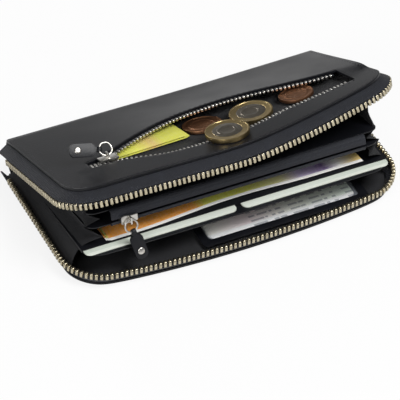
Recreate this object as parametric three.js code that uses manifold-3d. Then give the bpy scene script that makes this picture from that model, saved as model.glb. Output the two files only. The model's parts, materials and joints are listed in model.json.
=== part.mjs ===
// A long zip-around wallet lying open on its back cover, with its spine at the rear.
// Units are millimetres. X runs along the length, -Y is the mouth and +Z is up.
// The origin is the middle of the back cover's flat underside.
import * as THREE from 'three';
import { mergeVertices } from 'three/addons/utils/BufferGeometryUtils.js';
import Module from 'manifold-3d';

const wasm = await Module();
wasm.setup();

// Overall shape of the zip line that runs round three sides
const HALF_LENGTH = 96;
const FRONT_AT_ENDS = -51;
const FRONT_BOW = 7.5;
const CORNER_RADIUS = 20;
const HINGE_Y = 55;
const HINGE_Z = 10;
const COVER_REAR_Y = 45;
const SPINE_REACH = 5.5;
const GAP = 0.3;

// Leather and lining thicknesses
const LEATHER = 1.4;
const LINING = 0.6;
const CLOTH = 0.5;
const TAPE = 0.9;

// Closed-stack heights of the sheets between the covers
const LINING_RISE = GAP;
const CARD_THICKNESS = 0.76;
const PANE_THICKNESS = 0.3;
const FRAME_THICKNESS = 0.6;
const CARD_LEAF_Z = 5.4;
const LEAF_THICKNESS = 0.6;
const POCKET_FRONT_THICKNESS = 0.5;
const NOTE_THICKNESS = 0.2;
const LOWER_LEAF_Z = 9.7;
const UPPER_LEAF_Z = 12;
const LID_LINING_Z = 14.6;
const LID_Z = 18.2;

// How far each body is turned open about the spine at rest, in degrees
const LID_ANGLE = 21.8;
const CARD_LEAF_ANGLE = 6.9;
const LOWER_LEAF_ANGLE = 12;
const UPPER_LEAF_ANGLE = 15.5;

// The lid is twisted: its right front corner stands up and its left one droops
const LID_RIGHT_LIFT = 15;
const LID_LIFT_POWER = 1.3;
const LID_LEFT_DROOP = 3;
const TWIST_DEPTH = 110;

// Zip walls and main teeth
const BASE_WALL_INSET = 3;
const LID_WALL_INSET = 6;
const TOOTH_PITCH = 2.6;
const TOOTH_WIDTH = 1.45;
const TOOTH_REACH = 2.2;
const CORD_DEPTH = 0.9;
const TOOTH_THICKNESS = 1.4;
const ROW_TO_HINGE = 0.75;
const LEFT_ROW_REAR_Y = 34;
const RIGHT_ROW_REAR_Y = 33;

// Interior leaves
const CARD_LENGTH = 85.6;
const CARD_DEPTH = 54;
const CARD_CORNER = 3.2;
const CARD_LEAF_HALF = HALF_LENGTH - 7.6;
const CARD_LEAF_FRONT = -48.6;
const CARD_LEAF_CORNER = 12;
const POCKET_LEAF_HALF = HALF_LENGTH - 12;
const POCKET_LEAF_FRONT = -42.5;
const POCKET_LEAF_CORNER = 6;
const LEAF_REAR_Y = COVER_REAR_Y - 4;
const CARD_FRONT_Y = -46.6;
const CARD_MIDDLE_GAP = 3.6;
const CARD_SHOWN = 4.4;
const CARD_POCKET_MOUTH_Y = CARD_FRONT_Y + CARD_SHOWN;
const CARD_POCKET_RIM = 1.2;
const ID_CARD_LEFT = -17;
const ID_CARD_FRONT_Y = -45.5;
const WINDOW_MARGIN = 2.4;
const WINDOW_RIM = 3.4;
const NOTE_LEFT = -74;
const NOTE_LENGTH = 147;
const NOTE_DEPTH = 77;
const NOTE_FRONT_Y = -42.8;
const NOTE_WAVE = 4;
const NOTE_FAN = 1.1;
const NOTE_SHIFT = 0.8;

// Zip that closes the pocket between the two pocket leaves
const INNER_ZIP_Y = POCKET_LEAF_FRONT - 2.2;
const INNER_ZIP_RISE = 3;
const INNER_SLIT = 1.6;
const INNER_TAPE_LEFT = -72;
const INNER_TAPE_RIGHT = 74;
const INNER_SLIDER_X = -63;
const INNER_PULL_LEAN = 9;
const INNER_TAB_TURN = 12;

// Coin pocket mouth in the lid, open between its slider and its right end
const MOUTH_Y = -20;
const MOUTH_LEFT = 34 - HALF_LENGTH;
const MOUTH_RIGHT = HALF_LENGTH - 20;
const COIN_ROW_LEFT = MOUTH_LEFT - 8;
const REAR_LIP_SPREAD = 20;
const FRONT_LIP_SPREAD = 12.5;
const LIP_BULGE = 4.5;
const LIP_TO_TEETH = 2.9;
const COIN_ROW_HALF_GAP = 1.2;
const COIN_PITCH = 2.2;
const COIN_TOOTH_WIDTH = 1.2;
const COIN_TOOTH_REACH = 1;
const COIN_CORD = 0.7;
const COIN_TOOTH_THICKNESS = 1.3;
const COIN_TEETH_Z = 17.4;
const COIN_TAPE_Z = 17.35;
const COIN_TAPE_WIDTH = 7;
const COIN_TAPE_THICKNESS = 0.5;

// What lies in the coin pocket: each coin's radius, thickness, closed-lid place and tip
const RIM_WIDTH = 0.9;
const RIM_RISE = 0.2;
const LARGE_COIN = { radius: 11.6, thickness: 2.3 };
const SMALL_COIN = { radius: 10.6, thickness: 1.7 };
const SMALLEST_COIN = { radius: 9.4, thickness: 1.7 };
const LARGE_COIN_A = { ...LARGE_COIN, place: [0.5, -36.5, 22.3], tip: 5 };
const LARGE_COIN_B = { ...LARGE_COIN, place: [24, -15.5, 18.4], tip: 5 };
const COPPER_COIN_A = { ...SMALL_COIN, place: [0, -4.9, 16.7], tip: 0 };
const COPPER_COIN_B = { ...SMALLEST_COIN, place: [52, -13, 17.6], tip: 0 };
const FOLDED_NOTE_DEPTH = 26;
const FOLDED_NOTE_FRONT = MOUTH_Y + 4.4;
const FOLDED_NOTE_SECTION = [
  [-53, 15.7], [-14, 16.5], [-11.8, 17.3], [-14, 18.1], [-53, 17.1], [-53, 16.7], [-15, 17.7], [-15, 16.9], [-53, 16.1],
];

// Sliders and pulls
const COIN_SLIDER = { length: 10, width: 7.6, channel: 2.8 };
const INNER_SLIDER = { length: 9, width: 4.8, channel: 2.2 };
const MAIN_SLIDER = { length: 10, width: 7.4, channel: 2.6 };
const COIN_SLIDER_X = MOUTH_LEFT + 2;
const COIN_TAB_TURN = 78;
const MAIN_TAB_TURN = 84;
const MAIN_SLIDER_Y = RIGHT_ROW_REAR_Y + 6.5;
const PLATE = 1;
const NECK = 0.8;
const BRIDGE_OPENING = 2;
const BRIDGE_SPAN = 1.3;
const BRIDGE_BAR = 0.6;
const RING_RADIUS = 3.4;
const RING_WIRE = 0.5;
const TAB_LENGTH = 16;
const TAB_WIDTH = 7;
const TAB_THICKNESS = 1.3;
const EYE_WIDTH = 2.4;
const EYE_RADIUS = 1.5;
const EYE_BORE = 0.95;
const RIVET_RADIUS = 2;
const RIVET_HEIGHT = 0.6;
const COIN_RING_RISE = 62;
const MAIN_RING_LEAN = 14;

const radians = THREE.MathUtils.degToRad;
const clamp = THREE.MathUtils.clamp;
const smooth = THREE.MathUtils.smoothstep;
const lerp = THREE.MathUtils.lerp;

// Materials
const paint = (color, roughness, metalness = 0, extra = {}) =>
  new THREE.MeshStandardMaterial({ color, roughness, metalness, ...extra });
const blackLeather = () => paint(0x1f2024, 0.38);
const blackLining = () => paint(0x101014, 0.8);
const navyTape = () => paint(0x1c202b, 0.75);
const brass = () => paint(0xcdbb8c, 0.3, 1);
const nickel = () => paint(0xc9c7c0, 0.28, 1);
const copper = () => paint(0xa8623c, 0.4, 1);
const paleCard = () => paint(0xd9dccf, 0.45);

// Closed solid from a flat triangle net and the two faces that it maps to
function slab(points, triangles, upper, lower) {
  const count = points.length;
  const position = [];
  for (const face of [upper, lower]) {
    for (const point of points) {
      position.push(...face(...point));
    }
  }
  const used = new Set(triangles.flatMap(([a, b, c]) => [`${a},${b}`, `${b},${c}`, `${c},${a}`]));
  const index = [];
  for (const [a, b, c] of triangles) {
    index.push(a, b, c, c + count, b + count, a + count);
    for (const [from, to] of [[a, b], [b, c], [c, a]]) {
      if (!used.has(`${to},${from}`)) {
        index.push(to, from, from + count, to, from + count, to + count);
      }
    }
  }
  return facingOut(position, index);
}

// Turns the faces outward if the net was wound the other way
function facingOut(position, index) {
  const corner = (i) => new THREE.Vector3().fromArray(position, 3 * i);
  let volume = 0;
  for (let i = 0; i < index.length; i += 3) {
    volume += corner(index[i]).dot(corner(index[i + 1]).cross(corner(index[i + 2])));
  }
  const ordered = volume < 0 ? index.slice().reverse() : index;
  const geometry = new THREE.BufferGeometry();
  geometry.setAttribute('position', new THREE.Float32BufferAttribute(position, 3));
  geometry.setIndex(ordered);
  return geometry;
}

// Triangle net over a grid of columns and rows, less the cells that are left out
function grid(columns, rows, keep = () => true) {
  const triangles = [];
  for (let i = 0; i + 1 < columns; i += 1) {
    for (let j = 0; j + 1 < rows; j += 1) {
      if (keep(i, j)) {
        const a = i * rows + j;
        const b = a + rows;
        triangles.push([a, b, b + 1], [a, b + 1, a + 1]);
      }
    }
  }
  return triangles;
}

const steps = (from, to, count) => Array.from({ length: count + 1 }, (_, i) => lerp(from, to, i / count));

// Columns across a panel, close together round its front corners
function panelColumns(half, radius, spacing) {
  const inner = half - radius;
  const middle = steps(-inner, inner, Math.max(2, Math.round((2 * inner) / spacing)));
  const corner = [22, 42, 60, 76, 90].map((angle) => inner + radius * Math.sin(radians(angle)));
  return [...corner.map((x) => -x).reverse(), ...middle, ...corner];
}

// Front edge of a panel with round corners and, on the covers, a bowed front
function frontEdge(x, half, front, radius, bow) {
  const past = Math.max(0, Math.abs(x) - (half - radius));
  const rounded = front + radius - Math.sqrt(Math.max(0, radius ** 2 - past ** 2));
  return rounded - bow * (1 - (x / HALF_LENGTH) ** 2);
}

// Lift of the twisted lid above its closed plane
function lidLift(x, y) {
  const share = clamp((HINGE_Y - y) / TWIST_DEPTH, 0, 1);
  const side = Math.abs(x) / HALF_LENGTH;
  return share * (x > 0 ? LID_RIGHT_LIFT * side ** LID_LIFT_POWER : -LID_LEFT_DROOP * side ** 4);
}

const flat = () => 0;

// A sheet with round front corners between two heights
function panel({ half, front, rear, radius, bow = 0, bottom, top, lift = flat, rows = 1, spacing = 400 }) {
  const columns = panelColumns(half, radius, bow ? Math.min(spacing, 16) : spacing);
  const points = columns.flatMap((x) => {
    const start = frontEdge(x, half, front, radius, bow);
    return steps(start, rear, rows).map((y) => [x, y]);
  });
  const face = (z) => (x, y) => [x, y, z + lift(x, y)];
  return slab(points, grid(columns.length, rows + 1), face(top), face(bottom));
}

// Points along the zip line at an inset, from the left rear round the front to the right rear
function zipPath(inset, leftRear, rightRear) {
  const half = HALF_LENGTH - inset;
  const radius = CORNER_RADIUS - inset;
  const centreX = half - radius;
  const centreY = FRONT_AT_ENDS + CORNER_RADIUS;
  const path = new THREE.CurvePath();
  const bowed = (x, y) => {
    const share = clamp((centreY - y) / radius + 0.35, 0, 1);
    return new THREE.Vector3(x, y - share * FRONT_BOW * (1 - (x / HALF_LENGTH) ** 2), 0);
  };
  const turn = steps(0, 90, 8).map(radians);
  const left = turn.map((t) => bowed(-centreX - radius * Math.cos(t), centreY - radius * Math.sin(t)));
  const right = turn.map((t) => bowed(centreX + radius * Math.sin(t), centreY - radius * Math.cos(t)));
  const front = steps(-centreX, centreX, 12).slice(1, -1).map((x) => bowed(x, centreY - radius));
  const points = [
    new THREE.Vector3(-half, leftRear, 0),
    ...left,
    ...front,
    ...right,
    new THREE.Vector3(half, rightRear, 0),
  ];
  for (let i = 0; i + 1 < points.length; i += 1) {
    path.add(new THREE.LineCurve3(points[i], points[i + 1]));
  }
  return { points, path, length: path.getLength() };
}

// Outward direction of the zip line in plan
function outward(tangent) {
  return new THREE.Vector3(tangent.y, -tangent.x, 0).normalize();
}

// Zip wall: a band that leans from the cover's edge out to the teeth
function zipWall(footInset, footZ, headZ, lift) {
  const foot = zipPath(footInset, COVER_REAR_Y, COVER_REAR_Y);
  const head = zipPath(0, COVER_REAR_Y, COVER_REAR_Y);
  const normals = head.points.map((_, i) => {
    const before = head.points[Math.max(0, i - 1)];
    const after = head.points[Math.min(head.points.length - 1, i + 1)];
    return outward(after.clone().sub(before));
  });
  const points = head.points.flatMap((_, i) => [[i, 0], [i, 1]]);
  const face = (side) => (i, level) => {
    const at = (level ? head : foot).points[i];
    const x = at.x + (normals[i].x * side * TAPE) / 2;
    const y = at.y + (normals[i].y * side * TAPE) / 2;
    return [x, y, (level ? headZ : footZ) + lift(at.x, at.y)];
  };
  return slab(points, grid(head.points.length, 2), face(1), face(-1));
}

// Net of a comb: a cord with square teeth along one side
function combNet(count, pitch, width, cord, reach) {
  const points = [];
  const triangles = [];
  for (let i = 0; i <= count; i += 1) {
    const start = i * pitch;
    points.push([start, 0], [start, cord], [start + width, cord], [start, cord + reach], [start + width, cord + reach]);
  }
  for (let i = 0; i < count; i += 1) {
    const [foot, left, right, leftTip, rightTip] = [0, 1, 2, 3, 4].map((k) => 5 * i + k);
    const nextFoot = foot + 5;
    const nextLeft = left + 5;
    triangles.push([foot, nextFoot, left], [left, nextFoot, right], [right, nextFoot, nextLeft]);
    triangles.push([left, right, rightTip], [left, rightTip, leftTip]);
  }
  return { points: points.slice(0, 5 * count + 2), triangles };
}

// Row of main teeth, standing on the wall's edge and pointing at the other row
function mainTeeth(rootZ, direction, lift) {
  const { path, length } = zipPath(0, LEFT_ROW_REAR_Y, RIGHT_ROW_REAR_Y);
  const count = Math.floor(length / TOOTH_PITCH);
  const { points, triangles } = combNet(count, TOOTH_PITCH, TOOTH_WIDTH, CORD_DEPTH, TOOTH_REACH);
  const face = (side) => (along, across) => {
    const share = clamp(along / length, 0, 1);
    const at = path.getPointAt(share);
    const out = outward(path.getTangentAt(share));
    const x = at.x + (out.x * side * TOOTH_THICKNESS) / 2;
    const y = at.y + (out.y * side * TOOTH_THICKNESS) / 2;
    return [x, y, rootZ + direction * across + lift(at.x, at.y)];
  };
  return slab(points, triangles, face(1), face(-1));
}

// Shape of the open coin mouth: how far each lip has drawn back at x
const mouthShare = (x) => clamp((x - MOUTH_LEFT) / (MOUTH_RIGHT - MOUTH_LEFT), 0, 1);
const rearDraw = (x) => {
  const share = mouthShare(x);
  return Math.sin(Math.PI * share) ** 0.9 + 0.3 * share ** 8;
};
const frontDraw = (x) => {
  const share = mouthShare(x);
  return smooth(share, 0, 0.25) * (1 - 0.35 * smooth(share, 0.5, 0.75));
};
const rearRowY = (x) => MOUTH_Y + COIN_ROW_HALF_GAP + REAR_LIP_SPREAD * rearDraw(x);
const frontRowY = (x) => MOUTH_Y - COIN_ROW_HALF_GAP - FRONT_LIP_SPREAD * frontDraw(x);
const rearLipY = (x) => rearRowY(x) + LIP_TO_TEETH;
const frontLipY = (x) => frontRowY(x) - LIP_TO_TEETH;

// Height of the lid's leather above the closed plane, with the swell behind the mouth
function lidRise(x, y) {
  const behind = clamp((y - rearRowY(x)) / (COVER_REAR_Y - rearRowY(x)), 0, 1);
  const swell = y > MOUTH_Y ? LIP_BULGE * Math.min(1, rearDraw(x)) * (1 - behind) ** 1.5 : 0;
  return lidLift(x, y) + swell;
}

// Lid cover: the leather panel with the coin mouth cut through it
function lidCover() {
  const half = HALF_LENGTH - LID_WALL_INSET + TAPE;
  const radius = CORNER_RADIUS - LID_WALL_INSET;
  const front = FRONT_AT_ENDS + LID_WALL_INSET - TAPE;
  const edge = half - radius;
  const leftEnd = COIN_ROW_LEFT - 1;
  const rightEnd = MOUTH_RIGHT + 2;
  const corner = [30, 56, 76, 90].map((angle) => edge + radius * Math.sin(radians(angle)));
  const across = [
    ...corner.map((x) => -x).reverse(),
    -edge,
    leftEnd,
    ...steps(MOUTH_LEFT - 2, MOUTH_RIGHT - 4, 11),
    rightEnd,
    ...corner,
  ];
  const columns = across.filter((x, i) => i === 0 || x - across[i - 1] > 0.5);
  const inMouth = (x) => x >= leftEnd && x < rightEnd;
  const rows = 10;
  const mouthRow = 3;
  const points = columns.flatMap((x) => {
    const start = frontEdge(x, half, front, radius, FRONT_BOW * 0.9);
    const closest = inMouth(x) || x === rightEnd;
    const frontLip = closest ? frontLipY(x) : MOUTH_Y - LIP_TO_TEETH;
    const rearLip = closest ? rearLipY(x) : MOUTH_Y + LIP_TO_TEETH;
    const before = steps(Math.min(start, frontLip - 1), frontLip, mouthRow);
    const after = steps(rearLip, COVER_REAR_Y, rows - mouthRow - 1);
    return [...before, ...after].map((y) => [x, y]);
  });
  const count = rows + 1;
  const keep = (i, j) => j !== mouthRow || !inMouth(columns[i]);
  const face = (z) => (x, y) => [x, y, z + lidRise(x, y)];
  return slab(points, grid(columns.length, count, keep), face(LID_Z + LEATHER), face(LID_Z));
}

// Row of coin-zip teeth along one lip, pointing into the mouth
function coinTeeth(rowY, direction) {
  const count = Math.floor((MOUTH_RIGHT - COIN_ROW_LEFT) / COIN_PITCH);
  const net = combNet(count, COIN_PITCH, COIN_TOOTH_WIDTH, COIN_CORD, COIN_TOOTH_REACH);
  const face = (z) => (along, across) => {
    const x = COIN_ROW_LEFT + along;
    const y = rowY(x) + direction * (COIN_CORD - across);
    return [x, y, z + lidRise(x, y)];
  };
  return slab(net.points, net.triangles, face(COIN_TEETH_Z + COIN_TOOTH_THICKNESS), face(COIN_TEETH_Z));
}

// Tape of the coin zip, tucked under the leather lip
function coinTape(rowY, direction) {
  const columns = steps(COIN_ROW_LEFT, MOUTH_RIGHT, 24);
  const near = COIN_CORD + 1.4 * GAP;
  const points = columns.flatMap((x) => steps(near, COIN_TAPE_WIDTH, 2).map((d) => [x, rowY(x) + direction * d]));
  const face = (z) => (x, y) => [x, y, z + lidRise(x, y)];
  return slab(points, grid(columns.length, 3), face(COIN_TAPE_Z + COIN_TAPE_THICKNESS), face(COIN_TAPE_Z));
}

// Turns a closed-stack height and depth about the spine
function turned(y, z, degrees) {
  const angle = radians(degrees);
  const [back, up] = [y - HINGE_Y, z - HINGE_Z];
  return [
    HINGE_Y + back * Math.cos(angle) + up * Math.sin(angle),
    HINGE_Z - back * Math.sin(angle) + up * Math.cos(angle),
  ];
}

// Sheet that keeps one section along X, of constant thickness
function bentSheet(section, from, to, columns, thickness) {
  const normals = section.map((_, i) => {
    const before = section[Math.max(0, i - 1)];
    const after = section[Math.min(section.length - 1, i + 1)];
    const [dy, dz] = [after[0] - before[0], after[1] - before[1]];
    const size = Math.hypot(dy, dz);
    return [-dz / size, dy / size];
  });
  const points = steps(from, to, columns).flatMap((x) => section.map((_, i) => [x, i]));
  const face = (side) => (x, i) => {
    const offset = (side * thickness) / 2;
    return [x, section[i][0] + normals[i][0] * offset, section[i][1] + normals[i][1] * offset];
  };
  return slab(points, grid(columns + 1, section.length), face(1), face(-1));
}

// Spine: the leather that folds from the back cover up to the lid
function spineFold() {
  const start = COVER_REAR_Y + GAP + 0.1;
  const section = steps(0, 1, 10).map((share) => {
    const y = start + SPINE_REACH * Math.sin(Math.PI * share) ** 0.7;
    const z = lerp(LEATHER / 2, LID_Z + LEATHER / 2, share);
    return turned(y, z, LID_ANGLE * smooth(share, 0.2, 0.8));
  });
  return bentSheet(section, -HALF_LENGTH + 6, HALF_LENGTH - 6, 1, LEATHER - 0.2);
}

// Side gusset: cloth pleated between the base, the edge of each leaf and the lid
function gusset(side) {
  const wall = (y) => {
    const radius = CORNER_RADIUS - 2.6;
    const past = clamp(FRONT_AT_ENDS + CORNER_RADIUS - y, 0, radius - 1);
    return HALF_LENGTH - CORNER_RADIUS + Math.sqrt(radius ** 2 - past ** 2);
  };
  const cardEdge = CARD_LEAF_HALF + CLOTH / 2 + GAP + 0.1;
  const leafEdge = POCKET_LEAF_HALF + CLOTH / 2 + GAP + 0.75;
  const depth = 8.5;
  const between = (a, b) => (a + b) / 2;
  const pleat = (share) => leafEdge - depth * share;
  const folds = [
    { x: (share, y) => wall(y), angle: 0, z: HINGE_Z - 4.6, front: -37 },
    { x: () => cardEdge, angle: CARD_LEAF_ANGLE, z: 8.3, front: -37.5 },
    { x: pleat, angle: between(CARD_LEAF_ANGLE, LOWER_LEAF_ANGLE), z: 8.8, front: -43 },
    { x: () => leafEdge, angle: LOWER_LEAF_ANGLE, z: LOWER_LEAF_Z + 0.3, front: -38.5 },
    { x: pleat, angle: between(LOWER_LEAF_ANGLE, UPPER_LEAF_ANGLE), z: 11.15, front: -41 },
    { x: () => leafEdge, angle: UPPER_LEAF_ANGLE, z: UPPER_LEAF_Z + 0.3, front: -38.5 },
    { x: pleat, angle: between(UPPER_LEAF_ANGLE, LID_ANGLE), z: 13.5, front: -37, lift: 0.5 },
    { x: (share, y) => wall(y), angle: LID_ANGLE, z: HINGE_Z + 4.6, front: -34, lift: 1 },
  ];
  const rear = 40;
  const stations = 6;
  const points = folds.flatMap((_, k) => steps(0, 1, stations).map((share) => [k, share]));
  const place = (k, share) => {
    const fold = folds[clamp(k, 0, folds.length - 1)];
    const y = lerp(rear, fold.front, share);
    const x = side * fold.x(share, y);
    const z = fold.z + (fold.lift ?? 0) * lidLift(x, y);
    const [worldY, worldZ] = turned(y, z, fold.angle);
    return new THREE.Vector3(x, worldY, worldZ);
  };
  const face = (offset) => (k, share) => {
    const at = place(k, share);
    const across = place(k + 1, share).sub(place(k - 1, share));
    const along = place(k, Math.min(1, share + 0.1)).sub(place(k, Math.max(0, share - 0.1)));
    const normal = across.cross(along).normalize();
    return at.addScaledVector(normal, (offset * CLOTH) / 2).toArray();
  };
  return slab(points, grid(folds.length, stations + 1), face(1), face(-1));
}

// Solid helpers that join plain pieces into one body
function toSolid(geometry) {
  const plain = geometry.clone();
  plain.deleteAttribute('normal');
  plain.deleteAttribute('uv');
  const merged = mergeVertices(plain, 1e-4);
  const vertProperties = new Float32Array(merged.attributes.position.array);
  const triVerts = new Uint32Array(merged.index.array);
  return new wasm.Manifold(new wasm.Mesh({ numProp: 3, vertProperties, triVerts }));
}

function fromSolid(solid) {
  const { vertProperties, triVerts } = solid.getMesh();
  const geometry = new THREE.BufferGeometry();
  geometry.setAttribute('position', new THREE.BufferAttribute(new Float32Array(vertProperties), 3));
  geometry.setIndex(new THREE.BufferAttribute(new Uint32Array(triVerts), 1));
  return geometry;
}

const joined = (...pieces) => fromSolid(pieces.map(toSolid).reduce((all, piece) => all.add(piece)));
const cut = (piece, ...tools) => fromSolid(tools.map(toSolid).reduce((rest, tool) => rest.subtract(tool), toSolid(piece)));

function box(x0, x1, y0, y1, z0, z1) {
  const geometry = new THREE.BoxGeometry(x1 - x0, y1 - y0, z1 - z0);
  return geometry.translate((x0 + x1) / 2, (y0 + y1) / 2, (z0 + z1) / 2);
}

function roundedRectangle(x0, x1, y0, y1, radius) {
  const shape = new THREE.Shape();
  shape.moveTo(x0 + radius, y0);
  shape.lineTo(x1 - radius, y0);
  shape.absarc(x1 - radius, y0 + radius, radius, -Math.PI / 2, 0, false);
  shape.lineTo(x1, y1 - radius);
  shape.absarc(x1 - radius, y1 - radius, radius, 0, Math.PI / 2, false);
  shape.lineTo(x0 + radius, y1);
  shape.absarc(x0 + radius, y1 - radius, radius, Math.PI / 2, Math.PI, false);
  shape.lineTo(x0, y0 + radius);
  shape.absarc(x0 + radius, y0 + radius, radius, Math.PI, 1.5 * Math.PI, false);
  return shape;
}

function plate(shape, z, thickness, curveSegments = 4) {
  const geometry = new THREE.ExtrudeGeometry(shape, { depth: thickness, bevelEnabled: false, curveSegments });
  return geometry.translate(0, 0, z);
}

const card = (x, y, z) => plate(roundedRectangle(x, x + CARD_LENGTH, y, y + CARD_DEPTH, CARD_CORNER), z, CARD_THICKNESS);

// Zip slider over a track along X: two plates, the wedge between them and a bridge for the ring
function slider({ length, width, channel }) {
  const plan = new THREE.Shape();
  plan.moveTo(-length / 2, -width * 0.36);
  plan.lineTo(-length * 0.1, -width * 0.36);
  plan.lineTo(length * 0.3, -width / 2);
  plan.lineTo(length / 2, -width * 0.42);
  plan.lineTo(length / 2, width * 0.42);
  plan.lineTo(length * 0.3, width / 2);
  plan.lineTo(-length * 0.1, width * 0.36);
  plan.lineTo(-length / 2, width * 0.36);
  const lower = plate(plan, -channel / 2 - PLATE, PLATE);
  const upper = plate(plan, channel / 2, PLATE);
  const wedge = box(length * 0.3, length / 2, -NECK / 2, NECK / 2, -channel / 2 - 0.1, channel / 2 + 0.1);
  const top = channel / 2 + PLATE;
  const crown = top + BRIDGE_OPENING;
  const half = BRIDGE_BAR * 0.7;
  const arch = [
    box(-half, half, -BRIDGE_SPAN - BRIDGE_BAR, -BRIDGE_SPAN, top - 0.1, crown),
    box(-half, half, BRIDGE_SPAN, BRIDGE_SPAN + BRIDGE_BAR, top - 0.1, crown),
    box(-half, half, -BRIDGE_SPAN - BRIDGE_BAR, BRIDGE_SPAN + BRIDGE_BAR, crown - 0.05, crown + BRIDGE_BAR),
  ];
  return joined(lower, upper, wedge, ...arch);
}

// Height of the ring's pivot above a slider's middle plane
const pivotHeight = (channel) => channel / 2 + PLATE + BRIDGE_OPENING / 2;

// Leather tab with a round end and a looped eye at its top that holds the ring
function pullTab() {
  const bodyTop = -EYE_RADIUS - 0.4;
  const shape = roundedRectangle(-TAB_WIDTH / 2, TAB_WIDTH / 2, -TAB_LENGTH, bodyTop, TAB_WIDTH * 0.42);
  const body = plate(shape, -TAB_THICKNESS / 2, TAB_THICKNESS, 5);
  const neck = box(-EYE_WIDTH / 2, EYE_WIDTH / 2, bodyTop - 1, -EYE_BORE, -TAB_THICKNESS / 2, TAB_THICKNESS / 2);
  const along = (radius, length) => new THREE.CylinderGeometry(radius, radius, length, 12).rotateZ(Math.PI / 2);
  return cut(joined(body, neck, along(EYE_RADIUS, EYE_WIDTH)), along(EYE_BORE, EYE_WIDTH + 1));
}

const ring = () => new THREE.TorusGeometry(RING_RADIUS, RING_WIRE, 6, 16);

function rivet() {
  const profile = [
    new THREE.Vector2(0, 0),
    new THREE.Vector2(RIVET_RADIUS, 0),
    new THREE.Vector2(RIVET_RADIUS * 0.8, RIVET_HEIGHT * 0.7),
    new THREE.Vector2(0, RIVET_HEIGHT),
  ];
  return new THREE.LatheGeometry(profile, 12).rotateX(Math.PI / 2);
}

// A coin with raised rims on both faces
function coin({ radius, thickness }) {
  const half = thickness / 2;
  const field = half - RIM_RISE;
  const inner = radius - RIM_WIDTH;
  const profile = [
    new THREE.Vector2(0, -field),
    new THREE.Vector2(inner, -field),
    new THREE.Vector2(inner, -half),
    new THREE.Vector2(radius, -half),
    new THREE.Vector2(radius, half),
    new THREE.Vector2(inner, half),
    new THREE.Vector2(inner, field),
    new THREE.Vector2(0, field),
  ];
  return new THREE.LatheGeometry(profile, 24).rotateX(Math.PI / 2);
}

// Scene graph: a mesh with its own name and material
function mesh(name, geometry, material) {
  const piece = new THREE.Mesh(geometry, material);
  piece.name = name;
  return piece;
}

// Group that is turned open about the spine; its children are placed in the closed stack
function leafGroup(degrees, ...children) {
  const outer = new THREE.Group();
  outer.position.set(0, HINGE_Y, HINGE_Z);
  outer.rotation.x = -radians(degrees);
  const inner = new THREE.Group();
  inner.position.set(0, -HINGE_Y, -HINGE_Z);
  inner.add(...children);
  outer.add(inner);
  return outer;
}

function placed(piece, x, y, z, rotation = [0, 0, 0]) {
  piece.position.set(x, y, z);
  piece.rotation.set(...rotation.map(radians));
  return piece;
}

// A coin lying in the lid's pocket, tipped towards the mouth and following the lid's twist
function inPocket(name, kind, material) {
  const [x, y, z] = kind.place;
  const reach = kind.radius / 2;
  const climb = lidLift(x + reach, y) - lidLift(x - reach, y);
  const slope = THREE.MathUtils.radToDeg(Math.atan2(climb, 2 * reach));
  return placed(mesh(name, coin(kind), material), x, y, z + lidLift(x, y), [kind.tip, -slope, 0]);
}

const coverSize = { rear: COVER_REAR_Y, bow: FRONT_BOW };

function baseGroup() {
  const cover = panel({
    ...coverSize,
    half: HALF_LENGTH - BASE_WALL_INSET + TAPE,
    front: FRONT_AT_ENDS + BASE_WALL_INSET - TAPE,
    radius: CORNER_RADIUS - BASE_WALL_INSET + TAPE,
    bottom: 0,
    top: LEATHER,
  });
  const liningInset = BASE_WALL_INSET + 1.5;
  const liningZ = LEATHER + LINING_RISE;
  const lining = panel({
    ...coverSize,
    half: HALF_LENGTH - liningInset,
    front: FRONT_AT_ENDS + liningInset,
    radius: CORNER_RADIUS - liningInset,
    bottom: liningZ,
    top: liningZ + LINING,
  });
  const cardZ = liningZ + LINING + GAP;
  const paneZ = cardZ + CARD_THICKNESS + GAP;
  const frameZ = paneZ + PANE_THICKNESS + GAP;
  const x0 = ID_CARD_LEFT - WINDOW_MARGIN;
  const x1 = ID_CARD_LEFT + CARD_LENGTH + WINDOW_MARGIN;
  const y0 = ID_CARD_FRONT_Y - WINDOW_MARGIN;
  const y1 = ID_CARD_FRONT_Y + CARD_DEPTH + WINDOW_MARGIN;
  const frameShape = roundedRectangle(x0 - WINDOW_RIM, x1 + WINDOW_RIM, y0 - WINDOW_RIM, y1 + WINDOW_RIM, 2);
  const opening = roundedRectangle(x0 + 1, x1 - 1, y0 + 1, y1 - 1, 2);
  frameShape.holes.push(opening);
  const wallTop = HINGE_Z - ROW_TO_HINGE - TOOTH_REACH - CORD_DEPTH - GAP;
  const group = new THREE.Group();
  group.add(
    mesh('base_cover', cover, blackLeather()),
    mesh('base_lining', lining, blackLining()),
    mesh('base_zip_tape', zipWall(BASE_WALL_INSET, LEATHER + GAP, wallTop, flat), navyTape()),
    mesh('base_zip_teeth', mainTeeth(wallTop + GAP, 1, flat), brass()),
    mesh('id_card', card(ID_CARD_LEFT, ID_CARD_FRONT_Y, cardZ), paleCard()),
    mesh('window_pane', plate(roundedRectangle(x0, x1, y0, y1, 2), paneZ, PANE_THICKNESS), paint(0xb9c4cf, 0.15, 0)),
    mesh('window_frame', plate(frameShape, frameZ, FRAME_THICKNESS), blackLeather()),
    mesh('spine_fold', spineFold(), blackLeather()),
    mesh('gusset_left', gusset(-1), blackLining()),
    mesh('gusset_right', gusset(1), blackLining()),
  );
  return group;
}

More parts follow.
